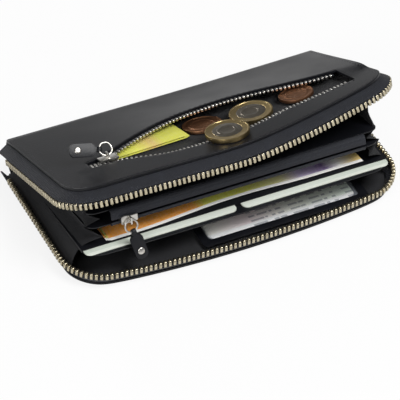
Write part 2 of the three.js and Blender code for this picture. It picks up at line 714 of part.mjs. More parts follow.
function cardLeafGroup() {
  const cardZ = CARD_LEAF_Z + LEAF_THICKNESS + GAP;
  const pocketTop = cardZ + CARD_THICKNESS + GAP + POCKET_FRONT_THICKNESS;
  const leaf = panel({
    half: CARD_LEAF_HALF,
    front: CARD_LEAF_FRONT,
    rear: LEAF_REAR_Y,
    radius: CARD_LEAF_CORNER,
    bottom: CARD_LEAF_Z,
    top: CARD_LEAF_Z + LEAF_THICKNESS,
  });
  const cardRear = CARD_FRONT_Y + CARD_DEPTH;
  const pocketBlock = box(
    -CARD_LEAF_HALF, CARD_LEAF_HALF, CARD_POCKET_MOUTH_Y, cardRear + CARD_POCKET_RIM + GAP, cardZ, pocketTop,
  );
  const slotFor = (x0, x1) =>
    box(x0 - GAP, x1 + GAP, CARD_POCKET_MOUTH_Y - 1, cardRear + GAP, cardZ - 1, pocketTop - POCKET_FRONT_THICKNESS);
  const innerEdge = CARD_MIDDLE_GAP / 2;
  const leftCard = -innerEdge - CARD_LENGTH;
  const pocket = cut(
    pocketBlock,
    slotFor(leftCard, leftCard + CARD_LENGTH),
    slotFor(innerEdge, innerEdge + CARD_LENGTH),
  );
  const noteZ = pocketTop + GAP;
  const notes = ['violet', 'green', 'orange'].map((colour, i, all) => {
    const shape = new THREE.Shape();
    const left = NOTE_LEFT + i * NOTE_SHIFT;
    const front = NOTE_FRONT_Y + (all.length - 1 - i) * NOTE_FAN;
    const wave = (x) => front + NOTE_WAVE * (smooth(x, -60, 0) - 0.45 * smooth(x, 8, 45));
    const edge = steps(left, left + NOTE_LENGTH, 14);
    shape.moveTo(left, front + NOTE_DEPTH);
    edge.forEach((x) => shape.lineTo(x, wave(x)));
    shape.lineTo(left + NOTE_LENGTH, front + NOTE_DEPTH);
    const tint = { orange: 0xd98636, green: 0xb9bd3a, violet: 0x6a5a9a }[colour];
    return mesh(`banknote_${colour}`, plate(shape, noteZ + i * (NOTE_THICKNESS + GAP), NOTE_THICKNESS), paint(tint, 0.8));
  });
  return leafGroup(
    CARD_LEAF_ANGLE,
    mesh('card_leaf', leaf, blackLeather()),
    mesh('card_pocket', pocket, blackLeather()),
    mesh('card_left', card(leftCard, CARD_FRONT_Y, cardZ), paleCard()),
    mesh('card_right', card(innerEdge, CARD_FRONT_Y, cardZ), paleCard()),
    ...notes,
  );
}

const pocketLeaf = (z) => panel({
  half: POCKET_LEAF_HALF,
  front: POCKET_LEAF_FRONT,
  rear: LEAF_REAR_Y,
  radius: POCKET_LEAF_CORNER,
  bottom: z,
  top: z + LEAF_THICKNESS,
});

// Inner zip tape, from a leaf's front edge to the zip line half-way between the leaves
function innerTape(leafZ, angle, up) {
  const middle = turned(INNER_ZIP_Y, LOWER_LEAF_Z + INNER_ZIP_RISE, LOWER_LEAF_ANGLE);
  const foot = turned(POCKET_LEAF_FRONT - GAP, leafZ + LEAF_THICKNESS / 2, angle);
  const bend = turned(INNER_ZIP_Y, leafZ + LEAF_THICKNESS / 2, angle);
  const tip = [middle[0], middle[1] - (up * INNER_SLIT) / 2];
  return bentSheet([foot, bend, tip], INNER_TAPE_LEFT, INNER_TAPE_RIGHT, 1, CLOTH);
}

// One pull, hanging down its own Y axis from the bridge: ring, then the tab turned about the ring
function pull(prefix, metal, tabTurn = 0) {
  const tabs = new THREE.Group();
  tabs.position.set(0, -RING_RADIUS, 0);
  tabs.rotation.z = radians(tabTurn);
  const rivetZ = TAB_THICKNESS / 2 + GAP;
  tabs.add(
    placed(mesh(`${prefix}_tab`, pullTab(), blackLeather()), 0, -RING_RADIUS, 0),
    placed(mesh(`${prefix}_rivet`, rivet(), metal()), 0, -RING_RADIUS - TAB_LENGTH * 0.72, rivetZ),
  );
  const group = new THREE.Group();
  group.add(placed(mesh(`${prefix}_ring`, ring(), metal()), 0, -RING_RADIUS, 0), tabs);
  return group;
}

function lowerLeafGroup() {
  const z = LOWER_LEAF_Z + INNER_ZIP_RISE;
  const shape = slider(INNER_SLIDER);
  const innerSlider = placed(mesh('inner_slider', shape, nickel()), INNER_SLIDER_X, INNER_ZIP_Y, z, [90, 0, 180]);
  const pivotY = INNER_ZIP_Y - pivotHeight(INNER_SLIDER.channel);
  const innerTurn = [90 - INNER_PULL_LEAN, 0, 0];
  const innerPull = placed(pull('inner', nickel, INNER_TAB_TURN), INNER_SLIDER_X, pivotY, z, innerTurn);
  return leafGroup(
    LOWER_LEAF_ANGLE,
    mesh('pocket_leaf_lower', pocketLeaf(LOWER_LEAF_Z), blackLeather()),
    innerSlider,
    innerPull,
  );
}

function lidGroup() {
  const wallTop = LID_Z - GAP;
  const rootZ = HINGE_Z + ROW_TO_HINGE + TOOTH_REACH + CORD_DEPTH;
  const liningInset = LID_WALL_INSET + 1.2;
  const lining = panel({
    ...coverSize,
    half: HALF_LENGTH - liningInset,
    front: FRONT_AT_ENDS + liningInset,
    radius: CORNER_RADIUS - liningInset,
    bottom: LID_LINING_Z,
    top: LID_LINING_Z + LINING,
    lift: lidLift,
    rows: 8,
    spacing: 16,
  });
  const note = new THREE.Shape(FOLDED_NOTE_SECTION.map(([x, z]) => new THREE.Vector2(x, z)));
  const noteGeometry = new THREE.ExtrudeGeometry(note, { depth: FOLDED_NOTE_DEPTH, bevelEnabled: false })
    .rotateX(Math.PI / 2)
    .translate(0, FOLDED_NOTE_DEPTH + FOLDED_NOTE_FRONT, 0);
  const coinPlane = COIN_TEETH_Z + COIN_TOOTH_THICKNESS / 2;
  const coinPivot = coinPlane + pivotHeight(COIN_SLIDER.channel);
  const coinTurn = [180 + COIN_RING_RISE, 180, 0];
  return leafGroup(
    LID_ANGLE,
    mesh('lid_cover', lidCover(), blackLeather()),
    mesh('lid_lining', lining, blackLining()),
    mesh('lid_zip_tape', zipWall(LID_WALL_INSET, wallTop, rootZ + GAP, lidLift), navyTape()),
    mesh('lid_zip_teeth', mainTeeth(rootZ, -1, lidLift), brass()),
    mesh('coin_tape_rear', coinTape(rearRowY, 1), navyTape()),
    mesh('coin_tape_front', coinTape(frontRowY, -1), navyTape()),
    mesh('coin_teeth_rear', coinTeeth(rearRowY, 1), nickel()),
    mesh('coin_teeth_front', coinTeeth(frontRowY, -1), nickel()),
    mesh('folded_note', noteGeometry, paint(0xd8d53a, 0.8)),
    inPocket('coin_bimetal_a', LARGE_COIN_A, nickel()),
    inPocket('coin_bimetal_b', LARGE_COIN_B, nickel()),
    inPocket('coin_copper_a', COPPER_COIN_A, copper()),
    inPocket('coin_copper_b', COPPER_COIN_B, copper()),
    placed(mesh('coin_slider', slider(COIN_SLIDER), nickel()), COIN_SLIDER_X, MOUTH_Y, coinPlane),
    placed(pull('coin', nickel, COIN_TAB_TURN), COIN_SLIDER_X, MOUTH_Y, coinPivot, coinTurn),
  );
}

function mainSliderGroup() {
  const mainSlider = mesh('main_slider', slider(MAIN_SLIDER), brass());
  const mainPull = pull('main', brass, MAIN_TAB_TURN);
  const pivotX = HALF_LENGTH + pivotHeight(MAIN_SLIDER.channel);
  const group = new THREE.Group();
  group.add(
    placed(mainSlider, HALF_LENGTH, MAIN_SLIDER_Y, HINGE_Z, [0, 90, -90]),
    placed(mainPull, pivotX, MAIN_SLIDER_Y, HINGE_Z, [0, 90 - MAIN_RING_LEAN, 90]),
  );
  return group;
}

const wallet = new THREE.Group();
wallet.add(
  baseGroup(),
  cardLeafGroup(),
  lowerLeafGroup(),
  leafGroup(UPPER_LEAF_ANGLE, mesh('pocket_leaf_upper', pocketLeaf(UPPER_LEAF_Z), blackLeather())),
  mesh('inner_tape_lower', innerTape(LOWER_LEAF_Z, LOWER_LEAF_ANGLE, 1), navyTape()),
  mesh('inner_tape_upper', innerTape(UPPER_LEAF_Z, UPPER_LEAF_ANGLE, -1), navyTape()),
  lidGroup(),
  mainSliderGroup(),
);

export default wallet;
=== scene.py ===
"""A long zip-around leather wallet lying open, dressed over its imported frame."""

from __future__ import annotations

import json
import logging
import math
from collections.abc import Callable
from dataclasses import dataclass
from enum import Enum

import bmesh
import bpy
import numpy as np
from mathutils import Euler, Matrix, Vector

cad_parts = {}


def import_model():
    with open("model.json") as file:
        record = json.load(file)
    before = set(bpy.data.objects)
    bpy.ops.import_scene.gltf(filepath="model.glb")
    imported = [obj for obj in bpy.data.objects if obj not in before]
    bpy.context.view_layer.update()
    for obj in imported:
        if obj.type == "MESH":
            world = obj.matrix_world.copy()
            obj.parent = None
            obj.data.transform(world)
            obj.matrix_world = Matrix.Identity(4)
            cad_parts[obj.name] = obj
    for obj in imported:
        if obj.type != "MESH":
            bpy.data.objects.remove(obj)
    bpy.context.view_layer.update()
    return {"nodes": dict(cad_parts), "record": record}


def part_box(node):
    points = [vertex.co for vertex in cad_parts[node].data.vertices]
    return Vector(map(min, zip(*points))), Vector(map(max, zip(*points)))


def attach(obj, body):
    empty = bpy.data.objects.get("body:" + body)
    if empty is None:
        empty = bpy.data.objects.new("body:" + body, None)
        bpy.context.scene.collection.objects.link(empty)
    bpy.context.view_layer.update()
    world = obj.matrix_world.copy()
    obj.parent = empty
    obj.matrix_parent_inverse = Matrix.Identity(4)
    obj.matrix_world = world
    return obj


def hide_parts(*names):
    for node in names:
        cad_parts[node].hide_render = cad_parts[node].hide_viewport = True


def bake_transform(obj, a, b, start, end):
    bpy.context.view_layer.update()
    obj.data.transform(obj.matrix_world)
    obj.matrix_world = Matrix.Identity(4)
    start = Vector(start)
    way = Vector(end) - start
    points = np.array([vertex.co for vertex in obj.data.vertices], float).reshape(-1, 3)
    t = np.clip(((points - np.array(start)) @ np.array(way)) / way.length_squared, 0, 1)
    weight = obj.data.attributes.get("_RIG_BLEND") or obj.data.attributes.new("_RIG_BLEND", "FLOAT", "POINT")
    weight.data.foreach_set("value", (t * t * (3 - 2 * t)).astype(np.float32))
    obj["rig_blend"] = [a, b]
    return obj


MM = 0.001
LOG = logging.getLogger("wallet")

Piece = bpy.types.Object
Material = bpy.types.Material
Socket = bpy.types.NodeSocket
NodeTree = bpy.types.NodeTree
Point = tuple[float, float, float]
Colour = tuple[float, float, float]
Stops = tuple[tuple[float, Colour], ...]


class Finish(Enum):
    """The finishes that the wallet's pieces take."""

    LEATHER = "leather"
    LINING = "lining"
    TAPE = "tape"
    BRASS = "brass"
    NICKEL = "nickel"
    COPPER = "copper"
    THREAD = "thread"
    PANE = "pane"
    BASE_CARD = "base_card"
    LEAF_CARD = "leaf_card"
    ORANGE_NOTE = "orange_note"
    GREEN_NOTE = "green_note"
    VIOLET_NOTE = "violet_note"
    YELLOW_NOTE = "yellow_note"


class Row(Enum):
    """The two facing rows of the main zip."""

    BASE = 1
    LID = -1


def smooth(value: float, low: float, high: float) -> float:
    """Returns the smooth step of value between low and high."""
    share = min(1.0, max(0.0, (value - low) / (high - low)))
    return share * share * (3 - 2 * share)


@dataclass
class WalletPlan:
    """The plan of the wallet in millimetres: its zip line, hinge, twist and coin mouth."""

    half_length: float = 96.0
    front_at_ends: float = -51.0
    front_bow: float = 7.5
    bow_at_corner: float = 0.35
    corner_radius: float = 20.0
    corner_steps: int = 8
    front_steps: int = 12
    hinge_y: float = 55.0
    hinge_z: float = 10.0
    lid_angle: float = 21.8
    right_lift: float = 15.0
    lift_power: float = 1.3
    left_droop: float = 3.0
    droop_power: int = 4
    twist_depth: float = 110.0
    rear_y: float = 45.0
    left_row_rear: float = 34.0
    right_row_rear: float = 33.0
    lid_top: float = 19.6
    lid_edge_inset: float = 5.1
    row_gap: float = 0.75
    mouth_y: float = -20.0
    mouth_left: float = -62.0
    mouth_right: float = 76.0
    coin_row_left: float = -70.0
    coin_half_gap: float = 1.2
    rear_spread: float = 20.0
    rear_power: float = 0.9
    rear_end_draw: float = 0.3
    rear_end_power: int = 8
    front_spread: float = 12.5
    front_full_at: float = 0.25
    front_fall: float = 0.35
    front_fall_span: tuple[float, float] = (0.5, 0.75)
    lip_bulge: float = 4.5
    bulge_power: float = 1.5
    lip_to_teeth: float = 2.9

    def lid_lift(self, x: float, y: float) -> float:
        """Finds how far the twist lifts the lid.

        Args:
            x: the point's place along the closed lid.
            y: its place across the closed lid.

        Returns:
            The lift in millimetres, below zero where the lid droops.
        """
        share = min(1.0, max(0.0, (self.hinge_y - y) / self.twist_depth))
        side = abs(x) / self.half_length
        if x > 0:
            return share * self.right_lift * side**self.lift_power
        return -share * self.left_droop * side**self.droop_power

    def mouth_share(self, x: float) -> float:
        """Returns how far along the coin mouth x is, from 0 to 1."""
        share = (x - self.mouth_left) / (self.mouth_right - self.mouth_left)
        return min(1.0, max(0.0, share))

    def rear_draw(self, x: float) -> float:
        """Finds how far the rear lip has drawn back.

        Args:
            x: the place along the mouth.

        Returns:
            The draw, as a share.
        """
        share = self.mouth_share(x)
        arch = max(0.0, math.sin(math.pi * share)) ** self.rear_power
        return arch + self.rear_end_draw * share**self.rear_end_power

    def front_draw(self, x: float) -> float:
        """Finds how far the front lip has drawn forward.

        Args:
            x: the place along the mouth.

        Returns:
            The draw, as a share.
        """
        share = self.mouth_share(x)
        fall = self.front_fall * smooth(share, *self.front_fall_span)
        return smooth(share, 0, self.front_full_at) * (1 - fall)

    def rear_row(self, x: float) -> float:
        """Returns the y of the rear row of coin teeth at x."""
        return self.mouth_y + self.coin_half_gap + self.rear_spread * self.rear_draw(x)

    def front_row(self, x: float) -> float:
        """Returns the y of the front row of coin teeth at x."""
        return self.mouth_y - self.coin_half_gap - self.front_spread * self.front_draw(x)

    def lid_rise(self, x: float, y: float) -> float:
        """Finds the lid's height above its closed plane, with the swell behind the mouth.

        Args:
            x: the point's place along the closed lid.
            y: its place across the closed lid.

        Returns:
            The height in millimetres.
        """
        rear = self.rear_row(x)
        behind = min(1.0, max(0.0, (y - rear) / (self.rear_y - rear)))
        swell = 0.0
        if y > self.mouth_y:
            swell = self.lip_bulge * min(1.0, self.rear_draw(x)) * (1 - behind) ** self.bulge_power
        return self.lid_lift(x, y) + swell

    def opened(self, x: float, y: float, z: float) -> Vector:
        """Turns a point of the closed lid open about the spine.

        Args:
            x: the point's x in millimetres.
            y: its y.
            z: its z.

        Returns:
            Its place on the open lid, in metres.
        """
        angle = math.radians(self.lid_angle)
        back, up = y - self.hinge_y, z - self.hinge_z
        turned_y = self.hinge_y + back * math.cos(angle) + up * math.sin(angle)
        turned_z = self.hinge_z - back * math.sin(angle) + up * math.cos(angle)
        return Vector((x, turned_y, turned_z)) * MM

    def zip_line(self, inset: float, left_rear: float, right_rear: float) -> list[Vector]:
        """Returns the zip line at an inset, from the left rear round the front.

        Args:
            inset: how far inside the outline the line runs.
            left_rear: the y at which it starts on the left.
            right_rear: the y at which it ends on the right.

        Returns:
            Its corners in plan, in millimetres.
        """
        half = self.half_length - inset
        radius = self.corner_radius - inset
        centre_x = half - radius
        centre_y = self.front_at_ends + self.corner_radius

        def bowed(x: float, y: float) -> Vector:
            """Returns the point with the front's bow."""
            share = min(1.0, max(0.0, (centre_y - y) / radius + self.bow_at_corner))
            return Vector((x, y - share * self.front_bow * (1 - (x / self.half_length) ** 2), 0))

        turns = [math.radians(90 * i / self.corner_steps) for i in range(self.corner_steps + 1)]
        left = [bowed(-centre_x - radius * math.cos(t), centre_y - radius * math.sin(t)) for t in turns]
        right = [bowed(centre_x + radius * math.sin(t), centre_y - radius * math.cos(t)) for t in turns]
        front = [
            bowed(-centre_x + 2 * centre_x * i / self.front_steps, centre_y - radius)
            for i in range(1, self.front_steps)
        ]
        start, end = Vector((-half, left_rear, 0)), Vector((half, right_rear, 0))
        return [start, *left, *front, *right, end]


def spaced(points: list[Vector], pitch: float, start: float) -> list[tuple[Vector, Vector]]:
    """Walks along a polyline.

    Args:
        points: the polyline's corners.
        pitch: the distance between stops.
        start: the distance of the first stop from the line's start.

    Returns:
        A place and a direction for each stop.
    """
    stops = []
    ahead = start
    for first, second in zip(points, points[1:]):
        span = second - first
        direction = span.normalized()
        while ahead <= span.length:
            stops.append((first + direction * ahead, direction))
            ahead += pitch
        ahead -= span.length
    return stops


class Shop:
    """Shared modelling work: selection, copies of CAD nodes, arrays of small parts."""

    MERGE_DISTANCE = 0.000002
    QUAD_ANGLE = math.radians(60)
    CREASE_ANGLE = 35.0
    SHEET_ANGLE = 50.0

    def __init__(self, nodes: dict[str, Piece], bodies: dict[str, list[str]]) -> None:
        """Keeps the CAD nodes and the body that each rides on."""
        self.nodes = nodes
        self.body_of = {node: body for body, members in bodies.items() for node in members}

    @staticmethod
    def only(piece: Piece) -> None:
        """Selects one object and makes it active.

        Args:
            piece: the object.
        """
        for other in bpy.context.selected_objects:
            other.select_set(False)
        piece.select_set(True)
        bpy.context.view_layer.objects.active = piece

    @staticmethod
    def pick_faces(piece: Piece, chosen: Callable[[Vector], bool]) -> None:
        """Selects faces of the piece in edit mode.

        Args:
            piece: the piece.
            chosen: says from a face's normal whether it is selected.
        """
        net = bmesh.from_edit_mesh(piece.data)
        for face in net.faces:
            face.select = chosen(face.normal)
        bmesh.update_edit_mesh(piece.data)

    @staticmethod
    def apply_modifiers(piece: Piece) -> None:
        """Applies every modifier of a piece in order.

        Args:
            piece: the piece.
        """
        Shop.only(piece)
        for modifier in list(piece.modifiers):
            bpy.ops.object.modifier_apply(modifier=modifier.name)

    @staticmethod
    def rounded(piece: Piece, width: float, angle: float = 40.0, segments: int = 3) -> None:
        """Rounds a piece's sharp edges and smooths its shading.

        Args:
            piece: the piece to finish.
            width: the bevel's width in millimetres.
            angle: the edge angle in degrees above which an edge is sharp.
            segments: the bevel's steps.
        """
        if width > 0:
            bevel = piece.modifiers.new("Rounded edges", "BEVEL")
            bevel.width = width * MM
            bevel.segments = segments
            bevel.limit_method = "ANGLE"
            bevel.angle_limit = math.radians(angle)
            bevel.use_clamp_overlap = True
            Shop.apply_modifiers(piece)
        Shop.only(piece)
        bpy.ops.object.shade_smooth_by_angle(angle=math.radians(angle))

    @staticmethod
    def subdivided(piece: Piece, name: str, levels: int) -> None:
        """Gives a piece a Subdivision Surface modifier.

        Args:
            piece: the piece.
            name: the modifier's name.
            levels: its steps.
        """
        surface = piece.modifiers.new(name, "SUBSURF")
        surface.levels = levels
        surface.render_levels = levels

    def copy_of(self, node: str, name: str) -> Piece:
        """Copies a CAD node's mesh, merged into one skin, as a new piece.

        Args:
            node: the CAD node.
            name: the new piece's name.

        Returns:
            The new piece, which replaces the node.
        """
        piece = bpy.data.objects.new(name, self.nodes[node].data.copy())
        bpy.context.scene.collection.objects.link(piece)
        piece.data.materials.clear()
        self.only(piece)
        bpy.ops.mesh.customdata_custom_splitnormals_clear()
        bpy.ops.object.mode_set(mode="EDIT")
        bpy.ops.mesh.select_all(action="SELECT")
        bpy.ops.mesh.remove_doubles(threshold=self.MERGE_DISTANCE)
        bpy.ops.mesh.tris_convert_to_quads(face_threshold=self.QUAD_ANGLE, shape_threshold=self.QUAD_ANGLE)
        bpy.ops.object.mode_set(mode="OBJECT")
        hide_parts(node)
        return piece

    @staticmethod
    def crease_rims(piece: Piece, rim: float, sharp: float) -> None:
        """Creases the edges where a sheet's face meets its thin rim.

        Args:
            piece: the sheet.
            rim: the widest that a rim face may be, in millimetres.
            sharp: the least angle of a creased edge, in degrees.
        """
        net = bmesh.new()
        net.from_mesh(piece.data)
        creases = net.edges.layers.float
        layer = creases.get("crease_edge") or creases.new("crease_edge")
        for edge in net.edges:
            if len(edge.link_faces) != 2 or edge.calc_face_angle(0) < math.radians(sharp):
                continue
            narrow = [min(e.calc_length() for e in face.edges) < rim * MM for face in edge.link_faces]
            if any(narrow):
                edge[layer] = 1.0
        net.to_mesh(piece.data)
        net.free()

    def soft_copy(self, node: str, name: str, levels: int, edge: float, rim: float = 1.6) -> Piece:
        """Makes a smooth sheet of leather or cloth from a CAD node's net.

        Args:
            node: the CAD node that it stands for.
            name: the new piece's name.
            levels: the subdivision steps.
            edge: the roundness of its edges in millimetres.
            rim: the sheet's thickness limit in millimetres.

        Returns:
            The finished sheet.
        """
        piece = self.copy_of(node, name)
        self.crease_rims(piece, rim, self.CREASE_ANGLE)
        self.subdivided(piece, "Smooth sheet", levels)
        self.apply_modifiers(piece)
        self.rounded(piece, edge, self.SHEET_ANGLE, 2)
        return piece

    @staticmethod
    def array(name: str, unit: Piece, places: list[Matrix]) -> Piece:
        """Copies a small unit to many places as one mesh, and removes the unit.

        Args:
            name: the new piece's name.
            unit: the modelled unit, at the origin.
            places: where each copy goes.

        Returns:
            The joined piece.
        """
        points = np.array([v.co for v in unit.data.vertices])
        faces = [tuple(f.vertices) for f in unit.data.polygons]
        all_points, all_faces = [], []
        for i, place in enumerate(places):
            turn = np.array(place.to_3x3())
            all_points.append(points @ turn.T + np.array(place.to_translation()))
            all_faces.extend(tuple(v + i * len(points) for v in face) for face in faces)
        mesh = bpy.data.meshes.new(name)
        mesh.from_pydata(np.concatenate(all_points).tolist(), [], all_faces)
        piece = bpy.data.objects.new(name, mesh)
        bpy.context.scene.collection.objects.link(piece)
        bpy.data.objects.remove(unit)
        return piece

    @staticmethod
    def settle(piece: Piece) -> None:
        """Applies a piece's place, turn and scale, so that its object sits at the origin."""
        Shop.only(piece)
        bpy.ops.object.transform_apply(location=True, rotation=True, scale=True)

    def lay_over(self, piece: Piece, node: str) -> Vector:
        """Lays a round piece, modelled on the origin, where a flat round CAD node is.

        Args:
            piece: the piece.
            node: the CAD node.

        Returns:
            The node's middle.
        """
        points = np.array([v.co for v in self.nodes[node].data.vertices])
        middle = Vector((points.min(0) + points.max(0)) / 2)
        _, _, axes = np.linalg.svd(points - points.mean(0), full_matrices=False)
        axis = Vector(axes[2])
        if axis.z < 0:
            axis.negate()
        turn = axis.to_track_quat("Z", "Y").to_matrix().to_4x4()
        piece.matrix_world = Matrix.Translation(middle) @ turn
        self.settle(piece)
        return middle

    @staticmethod
    def dress(piece: Piece, material: Material) -> None:
        """Gives a finished piece its material, and reports it.

        Args:
            piece: the piece.
            material: its material.
        """
        piece.data.materials.clear()
        piece.data.materials.append(material)
        LOG.info("%s: %d faces", piece.name, len(piece.data.polygons))

    def done(self, piece: Piece, node: str, slot: str, material: Material) -> None:
        """Dresses a piece and rides it on the body of a CAD node.

        Args:
            piece: the finished piece.
            node: the CAD node whose body carries it.
            slot: the record's material slot; not used.
            material: its material.
        """
        self.dress(piece, material)
        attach(piece, self.body_of[node])


class NodeKit:
    """Short ways to build shader nodes."""

    def __init__(self, name: str) -> None:
        """Starts a material with a Principled shader and Object coordinates.

        Args:
            name: the material's name.
        """
        self.material = bpy.data.materials.new(name)
        self.material.use_nodes = True
        self.tree = self.material.node_tree
        self.shader = next(n for n in self.tree.nodes if n.type == "BSDF_PRINCIPLED")
        self.coordinates = self.tree.nodes.new("ShaderNodeTexCoord").outputs["Object"]

    def link(self, source: Socket, target: Socket) -> None:
        """Joins two sockets."""
        self.tree.links.new(source, target)

    def feed(self, name: str, source: Socket) -> None:
        """Joins a socket to one of the shader's inputs."""
        self.link(source, self.shader.inputs[name])

    def plain(self, **values: object) -> None:
        """Sets plain values on the shader's sockets, with underscores for spaces."""
        for name, value in values.items():
            self.shader.inputs[name.replace("_", " ")].default_value = value

    def group(self, group: NodeTree, **values: float) -> bpy.types.Node:
        """Places a shared node group on Object coordinates.

        Args:
            group: the node group.
            **values: its own values, with underscores for spaces.

        Returns:
            The placed node.
        """
        node = self.tree.nodes.new("ShaderNodeGroup")
        node.node_tree = group
        self.link(self.coordinates, node.inputs["Vector"])
        for name, value in values.items():
            node.inputs[name.replace("_", " ")].default_value = value
        return node

    def noise(self, scale: float, detail: float = 3.0, stretch: Point | None = None) -> Socket:
        """Adds a noise over Object coordinates.

        Args:
            scale: the noise's scale.
            detail: its detail.
            stretch: a scale along each axis, or none.

        Returns:
            The noise's value.
        """
        node = self.tree.nodes.new("ShaderNodeTexNoise")
        node.inputs["Scale"].default_value = scale
        node.inputs["Detail"].default_value = detail
        vector = self.coordinates
        if stretch is not None:
            mapping = self.tree.nodes.new("ShaderNodeMapping")
            mapping.inputs["Scale"].default_value = stretch
            self.link(vector, mapping.inputs["Vector"])
            vector = mapping.outputs["Vector"]
        self.link(vector, node.inputs["Vector"])
        return node.outputs["Fac"]

    def ramp(self, value: Socket, stops: Stops) -> Socket:
        """Colours a value along a ramp.

        Args:
            value: the value, from 0 to 1.
            stops: the ramp's positions and colours.

        Returns:
            The colour.
        """
        node = self.tree.nodes.new("ShaderNodeValToRGB")
        elements = node.color_ramp.elements
        while len(elements) < len(stops):
            elements.new(0.5)
        for element, (position, colour) in zip(elements, stops):
            element.position = position
            element.color = (*colour, 1.0)
        self.link(value, node.inputs["Fac"])
        return node.outputs["Color"]

    def math(self, operation: str, first: Socket | float, second: Socket | float = 0.0) -> Socket:
        """Adds a maths node.

        Args:
            operation: Blender's name of the operation.
            first: its first number or socket.
            second: its second number or socket.

        Returns:
            The result.
        """
        node = self.tree.nodes.new("ShaderNodeMath")
        node.operation = operation
        for socket, value in zip(node.inputs, (first, second)):
            if isinstance(value, (int, float)):
                socket.default_value = value
            else:
                self.link(value, socket)
        return node.outputs[0]

    def scaled(self, value: Socket, factor: float, offset: float) -> Socket:
        """Returns a value times a factor, plus an offset."""
        return self.math("ADD", self.math("MULTIPLY", value, factor), offset)

    def step(self, value: Socket, low: float, high: float) -> Socket:
        """Adds a smooth step of a value.

        Args:
            value: the value.
            low: where the step starts.
            high: where it ends.

        Returns:
            The step, from 0 to 1.
        """
        node = self.tree.nodes.new("ShaderNodeMapRange")
        node.interpolation_type = "SMOOTHSTEP"
        node.inputs["From Min"].default_value = low
        node.inputs["From Max"].default_value = high
        self.link(value, node.inputs["Value"])
        return node.outputs["Result"]

    def axis(self, name: str) -> Socket:
        """Splits off one Object coordinate.

        Args:
            name: X, Y or Z.

        Returns:
            The coordinate in metres.
        """
        node = self.tree.nodes.new("ShaderNodeSeparateXYZ")
        self.link(self.coordinates, node.inputs[0])
        return node.outputs[name]

    def mix(self, share: Socket | float, first: Socket | Colour, second: Socket | Colour) -> Socket:
        """Mixes two colours.

        Args:
            share: the second colour's share.
            first: the first colour or colour socket.
            second: the second colour or colour socket.

        Returns:
            The mixed colour.
        """
        node = self.tree.nodes.new("ShaderNodeMix")
        node.data_type = "RGBA"
        for socket, value in ((node.inputs[0], share), (node.inputs[6], first), (node.inputs[7], second)):
            if isinstance(value, Socket):
                self.link(value, socket)
            elif isinstance(value, (int, float)):
                socket.default_value = value
            else:
                socket.default_value = (*value, 1.0)
        return node.outputs[2]

    def bump(self, height: Socket, depth: float, strength: float = 1.0) -> None:
        """Feeds a height through a Bump node into Normal.

        Args:
            height: the height.
            depth: the bump's distance in millimetres.
            strength: its strength.
        """
        node = self.tree.nodes.new("ShaderNodeBump")
        node.inputs["Distance"].default_value = depth * MM
        node.inputs["Strength"].default_value = strength
        self.link(height, node.inputs["Height"])
        self.feed("Normal", node.outputs["Normal"])


def effect_group(
    name: str, values: dict[str, float], outputs: list[str]
) -> tuple[NodeTree, bpy.types.Node, bpy.types.Node]:
    """Makes an empty shader node group with a Vector input.

    Args:
        name: the group's name.
        values: its number inputs and their defaults.
        outputs: its number outputs.

    Returns:
        The group, its input node and its output node.
    """
    group = bpy.data.node_groups.new(name, "ShaderNodeTree")
    group.interface.new_socket("Vector", in_out="INPUT", socket_type="NodeSocketVector")
    for label, value in values.items():
        socket = group.interface.new_socket(label, in_out="INPUT", socket_type="NodeSocketFloat")
        socket.default_value = value
    for label in outputs:
        group.interface.new_socket(label, in_out="OUTPUT", socket_type="NodeSocketFloat")
    return group, group.nodes.new("NodeGroupInput"), group.nodes.new("NodeGroupOutput")


def grain_group() -> NodeTree:
    """Makes the pebbled grain of smooth leather.

    Returns:
        The group, with its height and a soft wear mask.
    """
    group, source, sink = effect_group(
        "Leather grain", {"Scale": 1100.0, "Patch Scale": 45.0}, ["Height", "Wear"]
    )
    cells = group.nodes.new("ShaderNodeTexVoronoi")
    cells.feature = "SMOOTH_F1"
    pores = group.nodes.new("ShaderNodeTexNoise")
    pores.inputs["Detail"].default_value = 4.0
    patches = group.nodes.new("ShaderNodeTexNoise")
    patches.inputs["Detail"].default_value = 2.0
    add = group.nodes.new("ShaderNodeMath")
    for node, scale in ((cells, "Scale"), (pores, "Scale"), (patches, "Patch Scale")):
        group.links.new(source.outputs["Vector"], node.inputs["Vector"])
        group.links.new(source.outputs[scale], node.inputs["Scale"])
    group.links.new(cells.outputs["Distance"], add.inputs[0])
    group.links.new(pores.outputs["Fac"], add.inputs[1])
    group.links.new(add.outputs[0], sink.inputs["Height"])
    group.links.new(patches.outputs["Fac"], sink.inputs["Wear"])
    return group


def weave_group() -> NodeTree:
    """Makes a plain weave of two crossing thread waves.

    Returns:
        The group, with its height.
    """
    group, source, sink = effect_group("Plain weave", {"Scale": 900.0}, ["Height"])
    product = group.nodes.new("ShaderNodeMath")
    product.operation = "MULTIPLY"
    for slot, direction in enumerate(("X", "Y")):
        wave = group.nodes.new("ShaderNodeTexWave")
        wave.bands_direction = direction
        wave.inputs["Distortion"].default_value = 0.6
        group.links.new(source.outputs["Vector"], wave.inputs["Vector"])
        group.links.new(source.outputs["Scale"], wave.inputs["Scale"])
        group.links.new(wave.outputs["Fac"], product.inputs[slot])
    group.links.new(product.outputs[0], sink.inputs["Height"])
    return group


